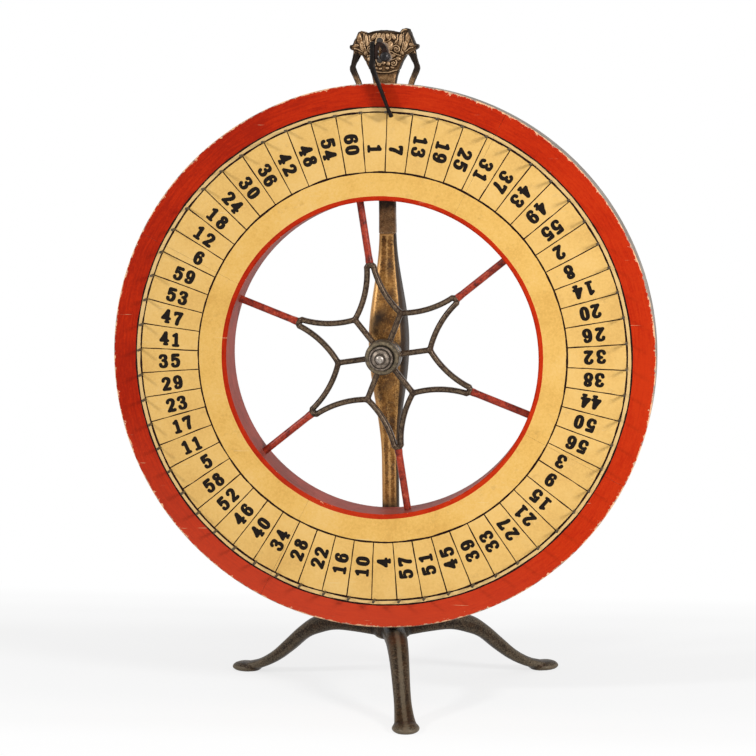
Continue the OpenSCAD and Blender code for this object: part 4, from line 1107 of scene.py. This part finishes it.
def makeStrap():
    # a flat band along its middle line, thick * sin^p by wide * cos^p across, rounded at both ends
    s = strap
    rows = smoothPath(s["stations"], s["steps"])
    step = headings(rows)
    a = circle(s["sides"])
    along = np.concatenate([[0], np.cumsum(np.linalg.norm(np.diff(rows[:, :2], axis=0), axis=1))])
    end = np.minimum(along, along[-1] - along) / s["endRound"]
    narrow = np.sqrt(1 - (1 - np.clip(end, 0, 1)) ** 2) * (1 - s["endShare"]) + s["endShare"]
    across = (s["wide"] / 2 * narrow)[:, None] * fat(np.cos(a), s["square"])
    thick = (rows[:, 2] * narrow)[:, None] * fat(np.sin(a), s["round"])
    x = rows[:, 0:1] + step[:, 1:2] * thick
    z = rows[:, 1:2] - step[:, 0:1] * thick
    verts, faces = shell(np.stack([x, s["middle"] + across, axleUp + z], -1))
    return makeObject("strap_leather", verts, faces)


print("strap")
settle(makeStrap(), "flapper", "black_leather", strapLeather(), "flapper_strap")

studio = {
    "floor": "#F4F4F4", "reach": 12.0, "fill": 0.4, "aim": (0, 0, 0.42),
    # how much of the floor's own white the camera sees, by the distance behind the axle in metres
    "sweep": [(-0.40, 1.0), (-0.23, 0.97), (-0.12, 0.82), (0.0, 0.735), (0.1, 0.735), (0.29, 0.757),
              (0.43, 0.85), (0.51, 0.92), (0.6, 1.0)],
    "whiteFrom": 0.7, "whiteTo": 1.5,  # metres off to both sides where the floor turns all white
    # name, place and size in metres, and power in watts
    "lamps": [("key", (2.2, -1.7, 1.4), 0.7, 55), ("side", (-1.9, -1.4, 1.6), 0.35, 28)],
    # where the camera stands in metres, where it looks, which way is up, and its lens in mm
    "camera": (0.3906, -2.7712, 0.6902), "ahead": (-0.14116, 0.98340, -0.11422),
    "up": (-0.0048, 0.1149, 0.9934), "lens": 118.38, "sensor": 36.0,
}


def raysInView(tree):
    # 1 for what the camera sees straight, in a reflection or through glass
    rays = addNode(tree, "LightPath").node.outputs
    seen = rays["Is Camera Ray"]
    for other in ("Is Glossy Ray", "Is Transmission Ray"):
        seen = addNode(tree, "Math", {0: seen, 1: rays[other]}, operation="MAXIMUM")
    return seen


def makeFloor(s):
    # white paper that shows the object's shadow, and plain white behind it and to the sides
    reach = s["reach"]
    mesh = bpy.data.meshes.new("floor")
    mesh.from_pydata([(-reach, -reach, 0), (reach, -reach, 0), (reach, reach, 0), (-reach, reach, 0)],
                     [], [(0, 1, 2, 3)])
    material = bpy.data.materials.new("white_paper_sweep")
    t = emptyTree(material)
    place = addNode(t, "TexCoord", out="Object")
    far = addNode(t, "SeparateXYZ", {0: place}, out="Y")
    low, high = s["sweep"][0][0], s["sweep"][-1][0]
    far = addNode(t, "MapRange", {"Value": far, "From Min": low, "From Max": high})
    far = addNode(t, "ValToRGB", {0: far}, stops=[((y - low) / (high - low), v) for y, v in s["sweep"]])
    far.node.color_ramp.interpolation = "EASE"
    # off to both sides the floor is all white, so that no edge of it shows from any side
    aside = addNode(t, "SeparateXYZ", {0: place}, out="X")
    aside = addNode(t, "Math", {0: aside}, operation="ABSOLUTE")
    aside = addNode(t, "MapRange", {
        "Value": aside, "From Min": s["whiteFrom"], "From Max": s["whiteTo"]},
        interpolation_type="SMOOTHSTEP")
    far = addNode(t, "Math", {0: far, 1: aside}, operation="MAXIMUM")
    amount = addNode(t, "Math", {0: far, 1: raysInView(t)}, operation="MULTIPLY")
    paper = addNode(t, "BsdfDiffuse", {"Color": s["floor"]})
    glow = addNode(t, "Emission", {"Color": (1, 1, 1, 1), "Strength": 1.0})
    sheet = addNode(t, "MixShader", {0: amount, 1: paper, 2: glow})
    addNode(t, "OutputMaterial", {"Surface": sheet})
    mesh.materials.append(material)
    newObject("floor", mesh)


def makeStudio():
    # the floor, even light from all round, two soft lamps and the camera
    s = studio
    makeFloor(s)
    world = bpy.data.worlds.new("studio_world")
    scene.world = world
    t = emptyTree(world)
    strength = addNode(t, "MapRange", {"Value": raysInView(t), "To Min": s["fill"], "To Max": 1.0})
    sky = addNode(t, "Background", {"Color": (1, 1, 1, 1), "Strength": strength})
    addNode(t, "OutputWorld", {"Surface": sky})

    for name, spot, size, power in s["lamps"]:
        lamp = bpy.data.lights.new(name, "AREA")
        lamp.shape = "DISK"
        lamp.size = size
        lamp.energy = power
        obj = newObject(name, lamp)
        obj.location = spot
        obj.rotation_mode = "QUATERNION"
        obj.rotation_quaternion = (Vector(s["aim"]) - Vector(spot)).to_track_quat("-Z", "Y")

    view = bpy.data.cameras.new("camera")
    view.lens = s["lens"]
    view.sensor_width = s["sensor"]
    view.clip_end = 100
    camera = newObject("camera", view)
    ahead = Vector(s["ahead"]).normalized()
    right = ahead.cross(Vector(s["up"])).normalized()
    rows = Matrix((right, right.cross(ahead), -ahead)).transposed().to_4x4()
    camera.matrix_world = Matrix.Translation(Vector(s["camera"])) @ rows
    scene.camera = camera


print("studio")
makeStudio()
scene.view_settings.view_transform = "Standard"
